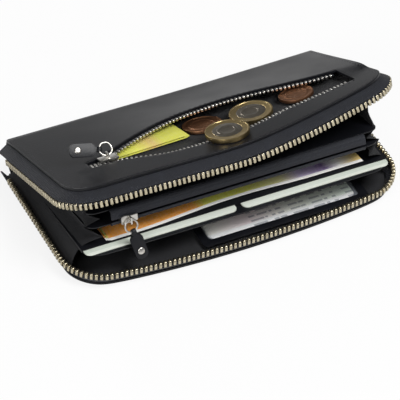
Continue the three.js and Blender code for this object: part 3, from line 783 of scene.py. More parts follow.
@dataclass(frozen=True)
class LeatherFinish:
    """Smooth black cowhide with a fine grain and a soft polish."""

    name: str
    dark: Colour = (0.0035, 0.0038, 0.0052)
    light: Colour = (0.009, 0.0095, 0.0125)
    rough: float = 0.28
    rough_spread: float = 0.16
    gloss: float = 0.3
    grain_depth: float = 0.05
    grain_strength: float = 0.6

    def build(self, grain: NodeTree) -> Material:
        """Builds the leather material.

        Args:
            grain: the shared leather grain.

        Returns:
            The material.
        """
        kit = NodeKit(self.name)
        node = kit.group(grain)
        wear = node.outputs["Wear"]
        kit.feed("Base Color", kit.mix(wear, self.dark, self.light))
        kit.feed("Roughness", kit.scaled(wear, self.rough_spread, self.rough))
        kit.plain(Specular_IOR_Level=self.gloss)
        kit.bump(node.outputs["Height"], self.grain_depth, self.grain_strength)
        return kit.material


@dataclass(frozen=True)
class ClothFinish:
    """Woven cloth, for the lining, the zip tapes and the thread, with painted shade in the weave's hollows."""

    name: str
    dark: Colour
    light: Colour
    weave_scale: float
    weave_depth: float
    rough: float = 0.8
    mottle_scale: float = 160.0
    hollow_shade_floor: float = 0.5
    sheen: float = 0.05
    sheen_rough: float = 0.5

    def build(self, weave: NodeTree) -> Material:
        """Builds the cloth material.

        Args:
            weave: the shared plain weave.

        Returns:
            The material.
        """
        kit = NodeKit(self.name)
        height = kit.group(weave, Scale=self.weave_scale).outputs["Height"]
        # The weave's height scales a random mottle: lighter on the thread tops and darker in the hollows between
        # threads, which is painted light and shade.
        thread_light_and_shade = kit.math("ADD", height, self.hollow_shade_floor)
        mottle_and_shade = kit.math("MULTIPLY", kit.noise(self.mottle_scale), thread_light_and_shade)
        kit.feed("Base Color", kit.mix(mottle_and_shade, self.dark, self.light))
        kit.plain(Roughness=self.rough, Sheen_Weight=self.sheen, Sheen_Roughness=self.sheen_rough)
        kit.bump(height, self.weave_depth)
        return kit.material


@dataclass(frozen=True)
class MetalFinish:
    """Plated or bare metal with a little tarnish."""

    name: str
    bright: Colour
    dull: Colour
    rough: float = 0.22
    rough_spread: float = 0.18
    tarnish_scale: float = 260.0
    tarnish_detail: float = 4.0
    scratch_scale: float = 900.0
    scratch_depth: float = 0.012
    scratch_strength: float = 0.5

    def build(self) -> Material:
        """Builds the metal material.

        Returns:
            The material.
        """
        kit = NodeKit(self.name)
        tarnish = kit.noise(self.tarnish_scale, self.tarnish_detail)
        kit.feed("Base Color", kit.mix(tarnish, self.bright, self.dull))
        kit.plain(Metallic=1.0)
        kit.feed("Roughness", kit.scaled(tarnish, self.rough_spread, self.rough))
        kit.bump(kit.noise(self.scratch_scale), self.scratch_depth, self.scratch_strength)
        return kit.material


@dataclass(frozen=True)
class TwoMetalFinish:
    """A struck coin of two alloys: a silvery centre in a golden ring."""

    name: str
    middle: Vector
    ring_from: float
    silver: Colour = (0.42, 0.38, 0.32)
    dull_silver: Colour = (0.16, 0.14, 0.11)
    gold: Colour = (0.72, 0.56, 0.28)
    dull_gold: Colour = (0.36, 0.26, 0.11)
    rough: float = 0.24
    rough_spread: float = 0.2
    tarnish_scale: float = 260.0
    tarnish_detail: float = 4.0
    wear_scale: float = 420.0
    wear_depth: float = 0.12
    wear_strength: float = 0.7

    def build(self) -> Material:
        """Builds the coin's material, centred on the coin.

        Returns:
            The material.
        """
        kit = NodeKit(self.name)
        mapping = kit.tree.nodes.new("ShaderNodeMapping")
        mapping.inputs["Location"].default_value = -self.middle
        kit.link(kit.coordinates, mapping.inputs["Vector"])
        size = kit.tree.nodes.new("ShaderNodeVectorMath")
        size.operation = "LENGTH"
        kit.link(mapping.outputs["Vector"], size.inputs[0])
        outer = kit.math("GREATER_THAN", size.outputs["Value"], self.ring_from * MM)
        tarnish = kit.noise(self.tarnish_scale, self.tarnish_detail)
        centre = kit.mix(tarnish, self.silver, self.dull_silver)
        ring = kit.mix(tarnish, self.gold, self.dull_gold)
        kit.feed("Base Color", kit.mix(outer, centre, ring))
        kit.plain(Metallic=1.0)
        kit.feed("Roughness", kit.scaled(tarnish, self.rough_spread, self.rough))
        kit.bump(kit.noise(self.wear_scale), self.wear_depth, self.wear_strength)
        return kit.material


@dataclass(frozen=True)
class PrintFinish:
    """Printed paper or card: fields of colour along its length, a pale border and fine ruled lines.

    The edges, the border, the line pitch and the wave of the front edge are in millimetres.
    """

    name: str
    stops: Stops
    left: float
    right: float
    front: float
    border: float
    border_colour: Colour
    rough: float = 0.75
    line_pitch: float = 0.0
    fine_lines: float = 0.25
    wave: float = 0.0
    wave_rise: tuple[float, float] = (-60.0, 0.0)
    wave_fall: tuple[float, float] = (8.0, 45.0)
    wave_fall_share: float = 0.45
    blur_scale: float = 70.0
    blur: float = 0.05
    fine_scale: float = 120.0
    fine_distortion: float = 9.0
    fine_detail: float = 6.0
    line_gap: float = 0.62
    line_start: float = 0.3
    break_scale: float = 260.0
    break_stretch: Point = (1.0, 0.15, 0.15)
    break_share: float = 0.5
    ink: Colour = (0.12, 0.12, 0.14)
    ink_strength: float = 0.65
    fibre_scale: float = 600.0
    fibre_depth: float = 0.02
    fibre_strength: float = 0.5

    def depth_in(self, kit: NodeKit) -> Socket:
        """Finds how far a point lies behind the sheet's front edge, which may run in a wave.

        Args:
            kit: the material's kit.

        Returns:
            The distance in metres.
        """
        depth = kit.math("SUBTRACT", kit.axis("Y"), self.front * MM)
        if self.wave > 0:
            rise = kit.step(kit.axis("X"), *(x * MM for x in self.wave_rise))
            drop = kit.step(kit.axis("X"), *(x * MM for x in self.wave_fall))
            fall = kit.math("MULTIPLY", drop, self.wave_fall_share)
            bend = kit.math("MULTIPLY", kit.math("SUBTRACT", rise, fall), self.wave * MM)
            depth = kit.math("SUBTRACT", depth, bend)
        return depth

    def fine_ink(self, kit: NodeKit, colour: Socket) -> Socket:
        """Lays fine wavy lines of the border's colour over the ink.

        Args:
            kit: the material's kit.
            colour: the fields of colour.

        Returns:
            The colour with its fine lines.
        """
        fine = kit.tree.nodes.new("ShaderNodeTexWave")
        fine.inputs["Scale"].default_value = self.fine_scale
        fine.inputs["Distortion"].default_value = self.fine_distortion
        fine.inputs["Detail Scale"].default_value = self.fine_detail
        kit.link(kit.coordinates, fine.inputs["Vector"])
        pale = kit.math("MULTIPLY", fine.outputs["Fac"], self.fine_lines)
        return kit.mix(pale, colour, self.border_colour)

    def ruled(self, kit: NodeKit, colour: Socket, share: Socket) -> Socket:
        """Rules broken dark lines over the sheet.

        Args:
            kit: the material's kit.
            colour: the print below them.
            share: how far along the sheet a point is.

        Returns:
            The colour with the lines.
        """
        rows = kit.math("FRACT", kit.math("MULTIPLY", kit.axis("Y"), 1 / (self.line_pitch * MM)))
        bars = kit.math("GREATER_THAN", rows, self.line_gap)
        pattern = kit.noise(self.break_scale, 1.0, self.break_stretch)
        dashes = kit.math("GREATER_THAN", pattern, self.break_share)
        inside = kit.math("GREATER_THAN", share, self.line_start)
        lines = kit.math("MULTIPLY", kit.math("MULTIPLY", bars, dashes), inside)
        return kit.mix(kit.math("MULTIPLY", lines, self.ink_strength), colour, self.ink)

    def build(self) -> Material:
        """Builds the printed material.

        Returns:
            The material.
        """
        kit = NodeKit(self.name)
        span = (self.right - self.left) * MM
        share = kit.math("DIVIDE", kit.math("SUBTRACT", kit.axis("X"), self.left * MM), span)
        blurred = kit.math("ADD", share, kit.math("MULTIPLY", kit.noise(self.blur_scale, 1.0), self.blur))
        printed = self.fine_ink(kit, kit.ramp(blurred, self.stops))
        edge = kit.math("GREATER_THAN", self.depth_in(kit), self.border * MM)
        colour = kit.mix(edge, self.border_colour, printed)
        if self.line_pitch > 0:
            colour = self.ruled(kit, colour, share)
        kit.feed("Base Color", colour)
        kit.plain(Roughness=self.rough)
        kit.bump(kit.noise(self.fibre_scale), self.fibre_depth, self.fibre_strength)
        return kit.material


@dataclass(frozen=True)
class FilmFinish:
    """The clear soft film of the card window."""

    name: str
    tint: Colour = (0.75, 0.82, 0.92)
    cover: float = 0.09
    rough: float = 0.05
    rough_spread: float = 0.1
    smear_scale: float = 40.0
    ripple_scale: float = 25.0
    ripple_depth: float = 0.25
    ripple_strength: float = 0.4

    def build(self) -> Material:
        """Builds the film's material.

        Returns:
            The material.
        """
        kit = NodeKit(self.name)
        kit.plain(Base_Color=(*self.tint, 1.0), Alpha=self.cover)
        kit.feed("Roughness", kit.scaled(kit.noise(self.smear_scale), self.rough_spread, self.rough))
        kit.bump(kit.noise(self.ripple_scale, 1.0), self.ripple_depth, self.ripple_strength)
        return kit.material


class Paints:
    """Every material of the wallet, by finish."""

    CREAM, ROSE, MINT = (0.9, 0.9, 0.78), (0.9, 0.74, 0.74), (0.74, 0.84, 0.7)
    WHITE, GOLD = (0.88, 0.87, 0.84), (0.72, 0.52, 0.16)
    ORANGE, LIME, LEMON = (0.85, 0.33, 0.03), (0.68, 0.68, 0.08), (0.8, 0.8, 0.1)
    LILAC, PURPLE, STRAW = (0.5, 0.42, 0.62), (0.16, 0.09, 0.26), (0.74, 0.7, 0.32)
    SAGE, PALE_SAGE = (0.6, 0.66, 0.58), (0.74, 0.78, 0.7)

    def __init__(self) -> None:
        """Builds the shared groups and the materials."""
        grain, weave = grain_group(), weave_group()
        self.materials: dict[Finish, Material] = {
            Finish.LEATHER: LeatherFinish("Black leather").build(grain),
            Finish.LINING: ClothFinish(
                "Black lining", (0.003, 0.003, 0.004), (0.01, 0.0105, 0.014), weave_scale=1100.0, weave_depth=0.05
            ).build(weave),
            Finish.TAPE: ClothFinish(
                "Navy zip tape", (0.004, 0.0045, 0.008), (0.014, 0.017, 0.027),
                weave_scale=420.0, weave_depth=0.2, rough=0.7,
            ).build(weave),
            Finish.THREAD: ClothFinish(
                "Waxed thread", (0.01, 0.01, 0.012), (0.03, 0.03, 0.035),
                weave_scale=900.0, weave_depth=0.05, rough=0.5,
            ).build(weave),
            Finish.BRASS: MetalFinish("Pale brass", (0.78, 0.71, 0.53), (0.34, 0.29, 0.19)).build(),
            Finish.NICKEL: MetalFinish("Nickel plate", (0.78, 0.76, 0.72), (0.5, 0.48, 0.44)).build(),
            Finish.COPPER: MetalFinish("Worn copper", (0.5, 0.25, 0.13), (0.2, 0.1, 0.06), rough=0.35).build(),
            Finish.PANE: FilmFinish("Clear film").build(),
        }
        self.materials.update(self.cards())
        self.materials.update(self.papers())

    def cards(self) -> dict[Finish, Material]:
        """Builds the prints of the plastic cards.

        Returns:
            Their materials, by finish.
        """
        window = ((0.0, self.CREAM), (0.3, self.ROSE), (0.6, self.CREAM), (1.0, self.MINT))
        leaf = ((0.0, self.SAGE), (0.5, self.PALE_SAGE), (1.0, self.SAGE))
        return {
            Finish.BASE_CARD: PrintFinish(
                "Window card print", window, left=-17.0, right=68.6, front=-45.5, border=3.0,
                border_colour=self.WHITE, rough=0.4, line_pitch=3.4, fine_lines=0.2,
            ).build(),
            Finish.LEAF_CARD: PrintFinish(
                "Leaf card print", leaf, left=-87.0, right=87.0, front=-46.0, border=1.4,
                border_colour=self.PALE_SAGE, rough=0.35, fine_lines=0.3,
            ).build(),
        }

    def papers(self) -> dict[Finish, Material]:
        """Builds the prints of the paper notes.

        Returns:
            Their materials, by finish.
        """
        orange = (
            (0.0, self.ORANGE), (0.37, self.ORANGE), (0.41, self.LIME), (0.56, self.LIME), (0.7, self.STRAW),
            (0.78, self.LILAC), (0.88, self.PURPLE), (0.93, self.WHITE), (1.0, self.GOLD),
        )
        green = ((0.0, self.LIME), (0.2, self.GOLD), (0.5, self.LIME), (0.8, self.LILAC), (1.0, self.WHITE))
        violet = ((0.0, self.ORANGE), (0.3, self.GOLD), (0.6, self.LILAC), (0.85, self.WHITE), (1.0, self.GOLD))
        yellow = ((0.0, self.LIME), (0.3, self.LEMON), (0.55, self.GOLD), (0.7, self.LIME), (1.0, self.LIME))
        return {
            Finish.ORANGE_NOTE: PrintFinish(
                "Orange banknote", orange, left=-72.4, right=74.6, front=-42.2, border=2.0,
                border_colour=self.WHITE, fine_lines=0.12, wave=4.0,
            ).build(),
            Finish.GREEN_NOTE: PrintFinish(
                "Green banknote", green, left=-73.2, right=73.8, front=-41.1, border=2.0,
                border_colour=self.WHITE, wave=4.0,
            ).build(),
            Finish.VIOLET_NOTE: PrintFinish(
                "Violet banknote", violet, left=-74.0, right=73.0, front=-40.0, border=2.0,
                border_colour=self.WHITE, wave=4.0,
            ).build(),
            Finish.YELLOW_NOTE: PrintFinish(
                "Folded yellow paper", yellow, left=-53.0, right=-12.0, front=-60.0, border=1.0,
                border_colour=self.WHITE, rough=0.7, fine_lines=0.1,
            ).build(),
        }

    def __getitem__(self, finish: Finish) -> Material:
        """Returns the material of a finish."""
        return self.materials[finish]


@dataclass
class Covers:
    """The leather covers, their linings, the spine, the gussets and the stitching."""

    shop: Shop
    paints: Paints
    plan: WalletPlan
    cover_edge: float = 0.45
    lining_edge: float = 0.2
    lining_rim: float = 0.9
    gusset_edge: float = 0.12
    gusset_rim: float = 0.8
    spine_edge: float = 0.3
    stitch_pitch: float = 3.1
    stitch_length: float = 2.3
    stitch_width: float = 0.5
    stitch_start: float = 1.0
    stitch_aim: float = 0.5
    stitch_sink: float = 0.12
    lip_stitch_gap: float = 1.3
    lip_overrun: float = 1.0
    lip_steps: int = 40
    edge_inset: float = 2.6
    leather_nodes: tuple[str, ...] = ("base_cover", "lid_cover")
    lining_cuts: tuple[tuple[str, str, str, tuple[float, float], float], ...] = (
        ("base_lining", "base_cover", "laid", (0.183, 0.099), 0.0176),
        ("lid_lining", "lid_cover", "stretched", (0.1776, 0.0965), 0.0167),
    )
    gusset_cut: tuple[float, float] = (0.105, 0.085)
    gusset_areas: tuple[tuple[str, float], ...] = (("left", 0.0033), ("right", 0.0037))

    def build(self) -> None:
        """Builds every piece of the covers."""
        for node in self.leather_nodes:
            piece = self.shop.soft_copy(node, f"{node}_leather", 2, self.cover_edge)
            self.shop.done(piece, node, "leather", self.paints[Finish.LEATHER])
        for node, cover, held, flat, area in self.lining_cuts:
            piece = self.shop.soft_copy(node, f"{node}_cloth", 2, self.lining_edge, self.lining_rim)
            self.shop.done(piece, node, "lining", self.paints[Finish.LINING])
        self.build_gussets()
        self.build_spine()
        self.build_stitches()

    def build_gussets(self) -> None:
        """Builds the two pleated side gussets, which stretch between the covers."""
        for side, area in self.gusset_areas:
            node = f"gusset_{side}"
            piece = self.shop.soft_copy(node, f"{node}_cloth", 2, self.gusset_edge, self.gusset_rim)
            self.shop.dress(piece, self.paints[Finish.LINING])
            low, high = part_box(node)
            middle = (low + high) / 2
            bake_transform(piece, "base", "lid", (middle.x, middle.y, low.z), (middle.x, middle.y, high.z))

    def build_spine(self) -> None:
        """Builds the folded leather spine, which bends between the covers."""
        piece = self.shop.soft_copy("spine_fold", "spine_leather", 2, self.spine_edge)
        self.shop.dress(piece, self.paints[Finish.LEATHER])
        low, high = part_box("spine_fold")
        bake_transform(piece, "base", "lid", (0, high.y, low.z), (0, high.y, high.z))

    def stitch(self) -> Piece:
        """Models one stitch lying along X at the origin.

        Returns:
            The stitch.
        """
        bpy.ops.mesh.primitive_uv_sphere_add(segments=8, ring_count=6, radius=0.5)
        unit = bpy.context.active_object
        unit.scale = (self.stitch_length * MM, self.stitch_width * MM, self.stitch_width * MM)
        self.shop.settle(unit)
        return unit

    def along_lid(self, outline: list[Vector]) -> list[Matrix]:
        """Spaces stitches along a closed-plan line on top of the lid's leather.

        Args:
            outline: the line's corners.

        Returns:
            The stitches' places.
        """
        top = self.plan.lid_top - self.stitch_sink
        places = []
        for at, direction in spaced(outline, self.stitch_pitch, self.stitch_start):
            here = self.plan.opened(at.x, at.y, top + self.plan.lid_rise(at.x, at.y))
            ahead = at + direction * self.stitch_aim
            there = self.plan.opened(ahead.x, ahead.y, top + self.plan.lid_rise(ahead.x, ahead.y))
            turn = (there - here).to_track_quat("X", "Z").to_matrix().to_4x4()
            places.append(Matrix.Translation(here) @ turn)
        return places

    def build_stitches(self) -> None:
        """Sews the lid's edge and both lips of the coin mouth."""
        plan = self.plan
        rear = plan.rear_y - self.edge_inset
        places = self.along_lid(plan.zip_line(plan.lid_edge_inset + self.edge_inset, rear, rear))
        span = plan.mouth_right + self.lip_overrun - plan.coin_row_left
        for row, side in ((plan.rear_row, 1), (plan.front_row, -1)):
            line = []
            for i in range(self.lip_steps + 1):
                x = plan.coin_row_left + span * i / self.lip_steps
                line.append(Vector((x, row(x) + side * (plan.lip_to_teeth + self.lip_stitch_gap), 0)))
            places += self.along_lid(line)
        piece = self.shop.array("lid_stitching", self.stitch(), places)
        self.shop.only(piece)
        bpy.ops.object.shade_smooth()
        self.shop.done(piece, "lid_cover", "leather", self.paints[Finish.THREAD])


@dataclass
class ZipRows:
    """The zip tapes and the rows of metal teeth, on the covers and on the coin mouth."""

    shop: Shop
    paints: Paints
    plan: WalletPlan
    tape_edge: float = 0.2
    tape_rim: float = 1.2
    inner_tape_edge: float = 0.12
    inner_tape_rim: float = 0.8
    pitch: float = 2.6
    first_tooth: float = 0.8
    reach: float = 2.2
    cord: float = 0.9
    tooth_width: float = 1.5
    tooth_thickness: float = 2.1
    bead_height: float = 0.75
    bead_radius: float = 0.62
    coin_pitch: float = 2.2
    coin_first_share: float = 0.3
    coin_z: float = 17.4
    coin_thickness: float = 1.3
    coin_set_back: float = 0.7
    coin_tooth: tuple[float, float, float] = (1.25, 1.5, 1.7)
    coin_bead_height: float = 0.2
    coin_bead_radius: float = 0.42
    head_inset: float = 0.16
    head_rise: float = 0.22
    tooth_edge: float = 0.16

    def build(self) -> None:
        """Builds the tapes, cords and teeth."""
        tape = self.paints[Finish.TAPE]
        for node in ("base_zip_tape", "lid_zip_tape", "coin_tape_rear", "coin_tape_front"):
            piece = self.shop.soft_copy(node, f"{node}_cloth", 2, self.tape_edge, self.tape_rim)
            self.shop.done(piece, node, "zip_tape", tape)
        for node in ("inner_tape_lower", "inner_tape_upper"):
            piece = self.shop.soft_copy(node, f"{node}_cloth", 1, self.inner_tape_edge, self.inner_tape_rim)
            self.shop.done(piece, node, "zip_tape", tape)
        self.build_main(Row.BASE)
        self.build_main(Row.LID)
        self.build_coin_row("coin_teeth_rear", self.plan.rear_row, 1)
        self.build_coin_row("coin_teeth_front", self.plan.front_row, -1)

    def tooth(self, along: float, thick: float, length: float) -> Piece:
        """Models one tooth standing on the origin along Z.

        Args:
            along: its width along the row, in millimetres.
            thick: its thickness across the tape.
            length: its height from the cord's back to its tip.

        Returns:
            The tooth, with a rounded, narrower head.
        """
        bpy.ops.mesh.primitive_cube_add(size=1)
        unit = bpy.context.active_object
        unit.scale = (along * MM, thick * MM, length * MM)
        unit.location = (0, 0, length * MM / 2)
        self.shop.settle(unit)
        bpy.ops.object.mode_set(mode="EDIT")
        self.shop.pick_faces(unit, lambda normal: normal.z > 0.5)
        bpy.ops.mesh.inset(thickness=self.head_inset * along * MM, depth=self.head_rise * along * MM)
        bpy.ops.object.mode_set(mode="OBJECT")
        self.shop.rounded(unit, self.tooth_edge, segments=1)
        return unit

    @staticmethod
    def row_matrix(at: Vector, along: Vector, inward: Vector) -> Matrix:
        """Finds the place of a tooth.

        Args:
            at: its foot.
            along: the row's direction.
            inward: the way its head points, roughly.

        Returns:
            The place, with X along the row and Z towards the head.
        """
        side = inward.cross(along).normalized()
        turn = Matrix((along, side, along.cross(side))).transposed().to_4x4()
        return Matrix.Translation(at) @ turn

    def build_main(self, row: Row) -> None:
        """Builds one row of the main zip: the cord and its teeth.

        Args:
            row: the base's row or the lid's.
        """
        plan = self.plan
        node = "base_zip_teeth" if row is Row.BASE else "lid_zip_teeth"
        length = self.reach + self.cord
        foot = plan.hinge_z - row.value * (plan.row_gap + length)
        line = plan.zip_line(0, plan.left_row_rear, plan.right_row_rear)
        places = []
        for at, direction in spaced(line, self.pitch, self.first_tooth):
            if row is Row.BASE:
                here = Vector((at.x, at.y, foot)) * MM
                ahead = here + direction * MM
                inward = Vector((0, 0, 1))
            else:
                here = plan.opened(at.x, at.y, foot + plan.lid_lift(at.x, at.y))
                step = at + direction
                ahead = plan.opened(step.x, step.y, foot + plan.lid_lift(step.x, step.y))
                inward = plan.opened(at.x, at.y, 0) - plan.opened(at.x, at.y, 1)
            places.append(self.row_matrix(here, (ahead - here).normalized(), inward))
        self.build_teeth(node, self.tooth(self.tooth_width, self.tooth_thickness, length), places, Finish.BRASS)
        self.build_cord(node, places, self.bead_height, self.bead_radius)

    def build_teeth(self, node: str, unit: Piece, places: list[Matrix], finish: Finish) -> None:
        """Builds one row of teeth in place of its CAD row.

        Args:
            node: the CAD row.
            unit: one tooth, at the origin.
            places: where the teeth go.
            finish: the teeth's metal.
        """
        teeth = self.shop.array(f"{node}_metal", unit, places)
        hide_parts(node)
        self.shop.rounded(teeth, 0)
        slot = "brass_zip" if finish is Finish.BRASS else "nickel"
        self.shop.done(teeth, node, slot, self.paints[finish])

    def build_cord(self, node: str, places: list[Matrix], height: float, radius: float) -> None:
        """Builds the tape's bead that the teeth are clamped on.

        Args:
            node: the CAD row.
            places: where the teeth stand.
            height: the bead's height above a tooth's foot, in millimetres.
            radius: the bead's radius.
        """
        curve = bpy.data.curves.new(f"{node}_bead", "CURVE")
        curve.dimensions = "3D"
        curve.bevel_depth = radius * MM
        curve.bevel_resolution = 2
        curve.use_fill_caps = True
        spline = curve.splines.new("POLY")
        spline.points.add(len(places) - 1)
        for point, place in zip(spline.points, places):
            point.co = (*(place @ Vector((0, 0, height * MM))), 1)
        bead = bpy.data.objects.new(f"{node}_bead", curve)
        bpy.context.scene.collection.objects.link(bead)
        self.shop.only(bead)
        bpy.ops.object.convert(target="MESH")
        bead = bpy.context.active_object
        self.shop.rounded(bead, 0)
        self.shop.done(bead, node, "zip_tape", self.paints[Finish.TAPE])

    def build_coin_row(self, node: str, row: Callable[[float], float], side: int) -> None:
        """Builds one row of the coin zip.

        Args:
            node: the CAD row that it replaces.
            row: the function that gives the row's y at x.
            side: 1 for the rear row and -1 for the front row.
        """
        plan = self.plan
        count = int((plan.mouth_right - plan.coin_row_left) / self.coin_pitch)
        middle = self.coin_z + self.coin_thickness / 2
        places = []
        for i in range(count):
            x = plan.coin_row_left + (i + self.coin_first_share) * self.coin_pitch
            y = row(x) + side * self.coin_set_back
            ahead_x = x + 1
            ahead_y = row(ahead_x) + side * self.coin_set_back
            here = plan.opened(x, y, middle + plan.lid_rise(x, y))
            there = plan.opened(ahead_x, ahead_y, middle + plan.lid_rise(ahead_x, ahead_y))
            inner = plan.opened(x, y - side, middle + plan.lid_rise(x, y))
            places.append(self.row_matrix(here, (there - here).normalized(), (inner - here).normalized()))
        self.build_teeth(node, self.tooth(*self.coin_tooth), places, Finish.NICKEL)
        self.build_cord(node, places, self.coin_bead_height, self.coin_bead_radius)


@dataclass
class Leaves:
    """The inner leaves and pockets, the window and what they hold."""

    shop: Shop
    paints: Paints
    leaf_edge: float = 0.2
    leaf_rim: float = 0.9
    flat_edge: float = 0.15
    paper_edge: float = 0.08
    leaf_nodes: tuple[str, ...] = ("card_leaf", "pocket_leaf_lower", "pocket_leaf_upper")
    flat_nodes: tuple[str, ...] = ("card_pocket", "window_frame")
    thin_nodes: tuple[tuple[str, str, Finish], ...] = (
        ("id_card", "card", Finish.BASE_CARD),
        ("card_left", "card", Finish.LEAF_CARD),
        ("card_right", "card", Finish.LEAF_CARD),
        ("window_pane", "pane", Finish.PANE),
        ("banknote_orange", "paper_orange", Finish.ORANGE_NOTE),
        ("banknote_green", "paper_green", Finish.GREEN_NOTE),
        ("banknote_violet", "paper_violet", Finish.VIOLET_NOTE),
        ("folded_note", "paper_yellow", Finish.YELLOW_NOTE),
    )

    def build(self) -> None:
        """Builds the leaves and dresses the cards, notes and window."""
        leather = self.paints[Finish.LEATHER]
        for node in self.leaf_nodes:
            piece = self.shop.soft_copy(node, f"{node}_leather", 1, self.leaf_edge, self.leaf_rim)
            self.shop.done(piece, node, "leather", leather)
        for node in self.flat_nodes:
            piece = self.shop.copy_of(node, f"{node}_leather")
            self.shop.rounded(piece, self.flat_edge, segments=2)
            self.shop.done(piece, node, "leather", leather)
        for node, slot, finish in self.thin_nodes:
            piece = self.shop.copy_of(node, f"{node}_sheet")
            self.shop.rounded(piece, self.paper_edge, segments=2)
            self.shop.done(piece, node, slot, self.paints[finish])


@dataclass
class Coins:
    """The loose coins in the lid's pocket, in millimetres."""

    shop: Shop
    paints: Paints
    two_metals: tuple[tuple[str, float, float], ...] = (
        ("coin_bimetal_a", 11.6, 2.3),
        ("coin_bimetal_b", 11.6, 2.3),
    )
    coppers: tuple[tuple[str, float, float], ...] = (
        ("coin_copper_a", 10.6, 1.7),
        ("coin_copper_b", 9.4, 1.7),
    )
    seam_share: float = 0.68
    rim: float = 0.8
    rim_slope: float = 0.12
    recess: float = 0.22
    seam_gap: float = 0.3
    seam_width: float = 0.15
    seam_depth: float = 0.12
    band_margin: float = 0.2
    band_slope: float = 0.2
    band_rise: float = 0.14
    band_width: float = 0.12
    edge: float = 0.08
    edge_angle: float = 30.0

    def build(self) -> None:
        """Builds the coins where the CAD coins lie."""
        for node, radius, thickness in self.two_metals:
            piece, middle = self.build_coin(node, radius, thickness, self.seam_share)
            alloy = TwoMetalFinish(f"{piece.name} alloy", middle, radius * self.seam_share)
            self.shop.done(piece, node, "nickel", alloy.build())
        for node, radius, thickness in self.coppers:
            piece, _ = self.build_coin(node, radius, thickness, 0)
            self.shop.done(piece, node, "copper", self.paints[Finish.COPPER])

    def build_coin(self, node: str, radius: float, thickness: float, seam: float) -> tuple[Piece, Vector]:
        """Builds a coin in place of its CAD coin.

        Args:
            node: the CAD coin.
            radius: the coin's radius.
            thickness: its thickness.
            seam: the share of the radius where its two metals meet, or 0.

        Returns:
            The coin and its middle.
        """
        piece = self.coin(f"{node}_struck", radius, thickness, seam)
        middle = self.shop.lay_over(piece, node)
        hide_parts(node)
        self.shop.rounded(piece, self.edge, self.edge_angle, 2)
        return piece, middle

    def coin(self, name: str, radius: float, thickness: float, seam: float) -> Piece:
        """Models a coin on the origin.

        Args:
            name: the piece's name.
            radius: the coin's radius.
            thickness: its thickness.
            seam: the share of the radius where its two metals meet, or 0.

        Returns:
            The coin, with rims, sunk faces, a seam where it has one, and a plain raised band.
        """
        bpy.ops.mesh.primitive_cylinder_add(vertices=96, radius=radius * MM, depth=thickness * MM)
        piece = bpy.context.active_object
        piece.name = name
        steps = [(self.rim, 0.0), (self.rim_slope, -self.recess)]
        if seam:
            steps += [
                (radius * (1 - seam) - self.rim - self.seam_gap, 0.0),
                (self.seam_width, -self.seam_depth),
                (self.seam_depth, self.seam_depth),
            ]
        steps += [
            (radius * self.band_margin, 0.0),
            (self.band_slope, self.band_rise),
            (radius * self.band_width, 0.0),
            (self.band_slope, -self.band_rise),
        ]
        bpy.ops.object.mode_set(mode="EDIT")
        self.shop.pick_faces(piece, lambda normal: abs(normal.z) > 0.5)
        for inset, depth in steps:
            bpy.ops.mesh.inset(thickness=inset * MM, depth=depth * MM, use_individual=True)
        bpy.ops.object.mode_set(mode="OBJECT")
        return piece


@dataclass
class Pulls:
    """The sliders with their rings, leather tabs and rivets."""

    shop: Shop
    paints: Paints
    ring_radius: float = 3.4
    wire: float = 0.5
    slider_edge: float = 0.28
    tab_edge: float = 0.3
    rivet_edge: float = 0.1
    rivet_edge_angle: float = 50.0
    rivet_rim: float = 5.0
    rivet_crease: float = 60.0

    def build(self) -> None:
        """Builds the three sliders and their pulls."""
        for prefix, slot, finish in (
            ("coin", "nickel", Finish.NICKEL),
            ("inner", "nickel", Finish.NICKEL),
            ("main", "brass_zip", Finish.BRASS),
        ):
            slider = self.shop.copy_of(f"{prefix}_slider", f"{prefix}_slider_body")
            self.shop.rounded(slider, self.slider_edge)
            self.shop.done(slider, f"{prefix}_slider", slot, self.paints[finish])
            tab = self.shop.copy_of(f"{prefix}_tab", f"{prefix}_tab_leather")
            self.shop.rounded(tab, self.tab_edge)
            self.shop.done(tab, f"{prefix}_tab", "leather", self.paints[Finish.LEATHER])
            self.build_ring(f"{prefix}_ring", slot, finish)
            self.build_rivet(f"{prefix}_rivet", slot, finish)

    def build_ring(self, node: str, slot: str, finish: Finish) -> None:
        """Builds one smooth wire ring where the CAD ring is.

        Args:
            node: the CAD ring.
            slot: the record's material slot.
            finish: the ring's metal.
        """
        bpy.ops.mesh.primitive_torus_add(
            major_segments=48, minor_segments=12, major_radius=self.ring_radius * MM, minor_radius=self.wire * MM
        )
        piece = bpy.context.active_object
        piece.name = f"{node}_wire"
        self.shop.lay_over(piece, node)
        bpy.ops.object.shade_smooth()
        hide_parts(node)
        self.shop.done(piece, node, slot, self.paints[finish])

    def build_rivet(self, node: str, slot: str, finish: Finish) -> None:
        """Builds one domed rivet from the CAD rivet's cap.

        Args:
            node: the CAD rivet.
            slot: the record's material slot.
            finish: the rivet's metal.
        """
        piece = self.shop.copy_of(node, f"{node}_cap")
        self.shop.crease_rims(piece, self.rivet_rim, self.rivet_crease)
        self.shop.subdivided(piece, "Round cap", 2)
        self.shop.apply_modifiers(piece)
        self.shop.rounded(piece, self.rivet_edge, self.rivet_edge_angle, 2)
        self.shop.done(piece, node, slot, self.paints[finish])


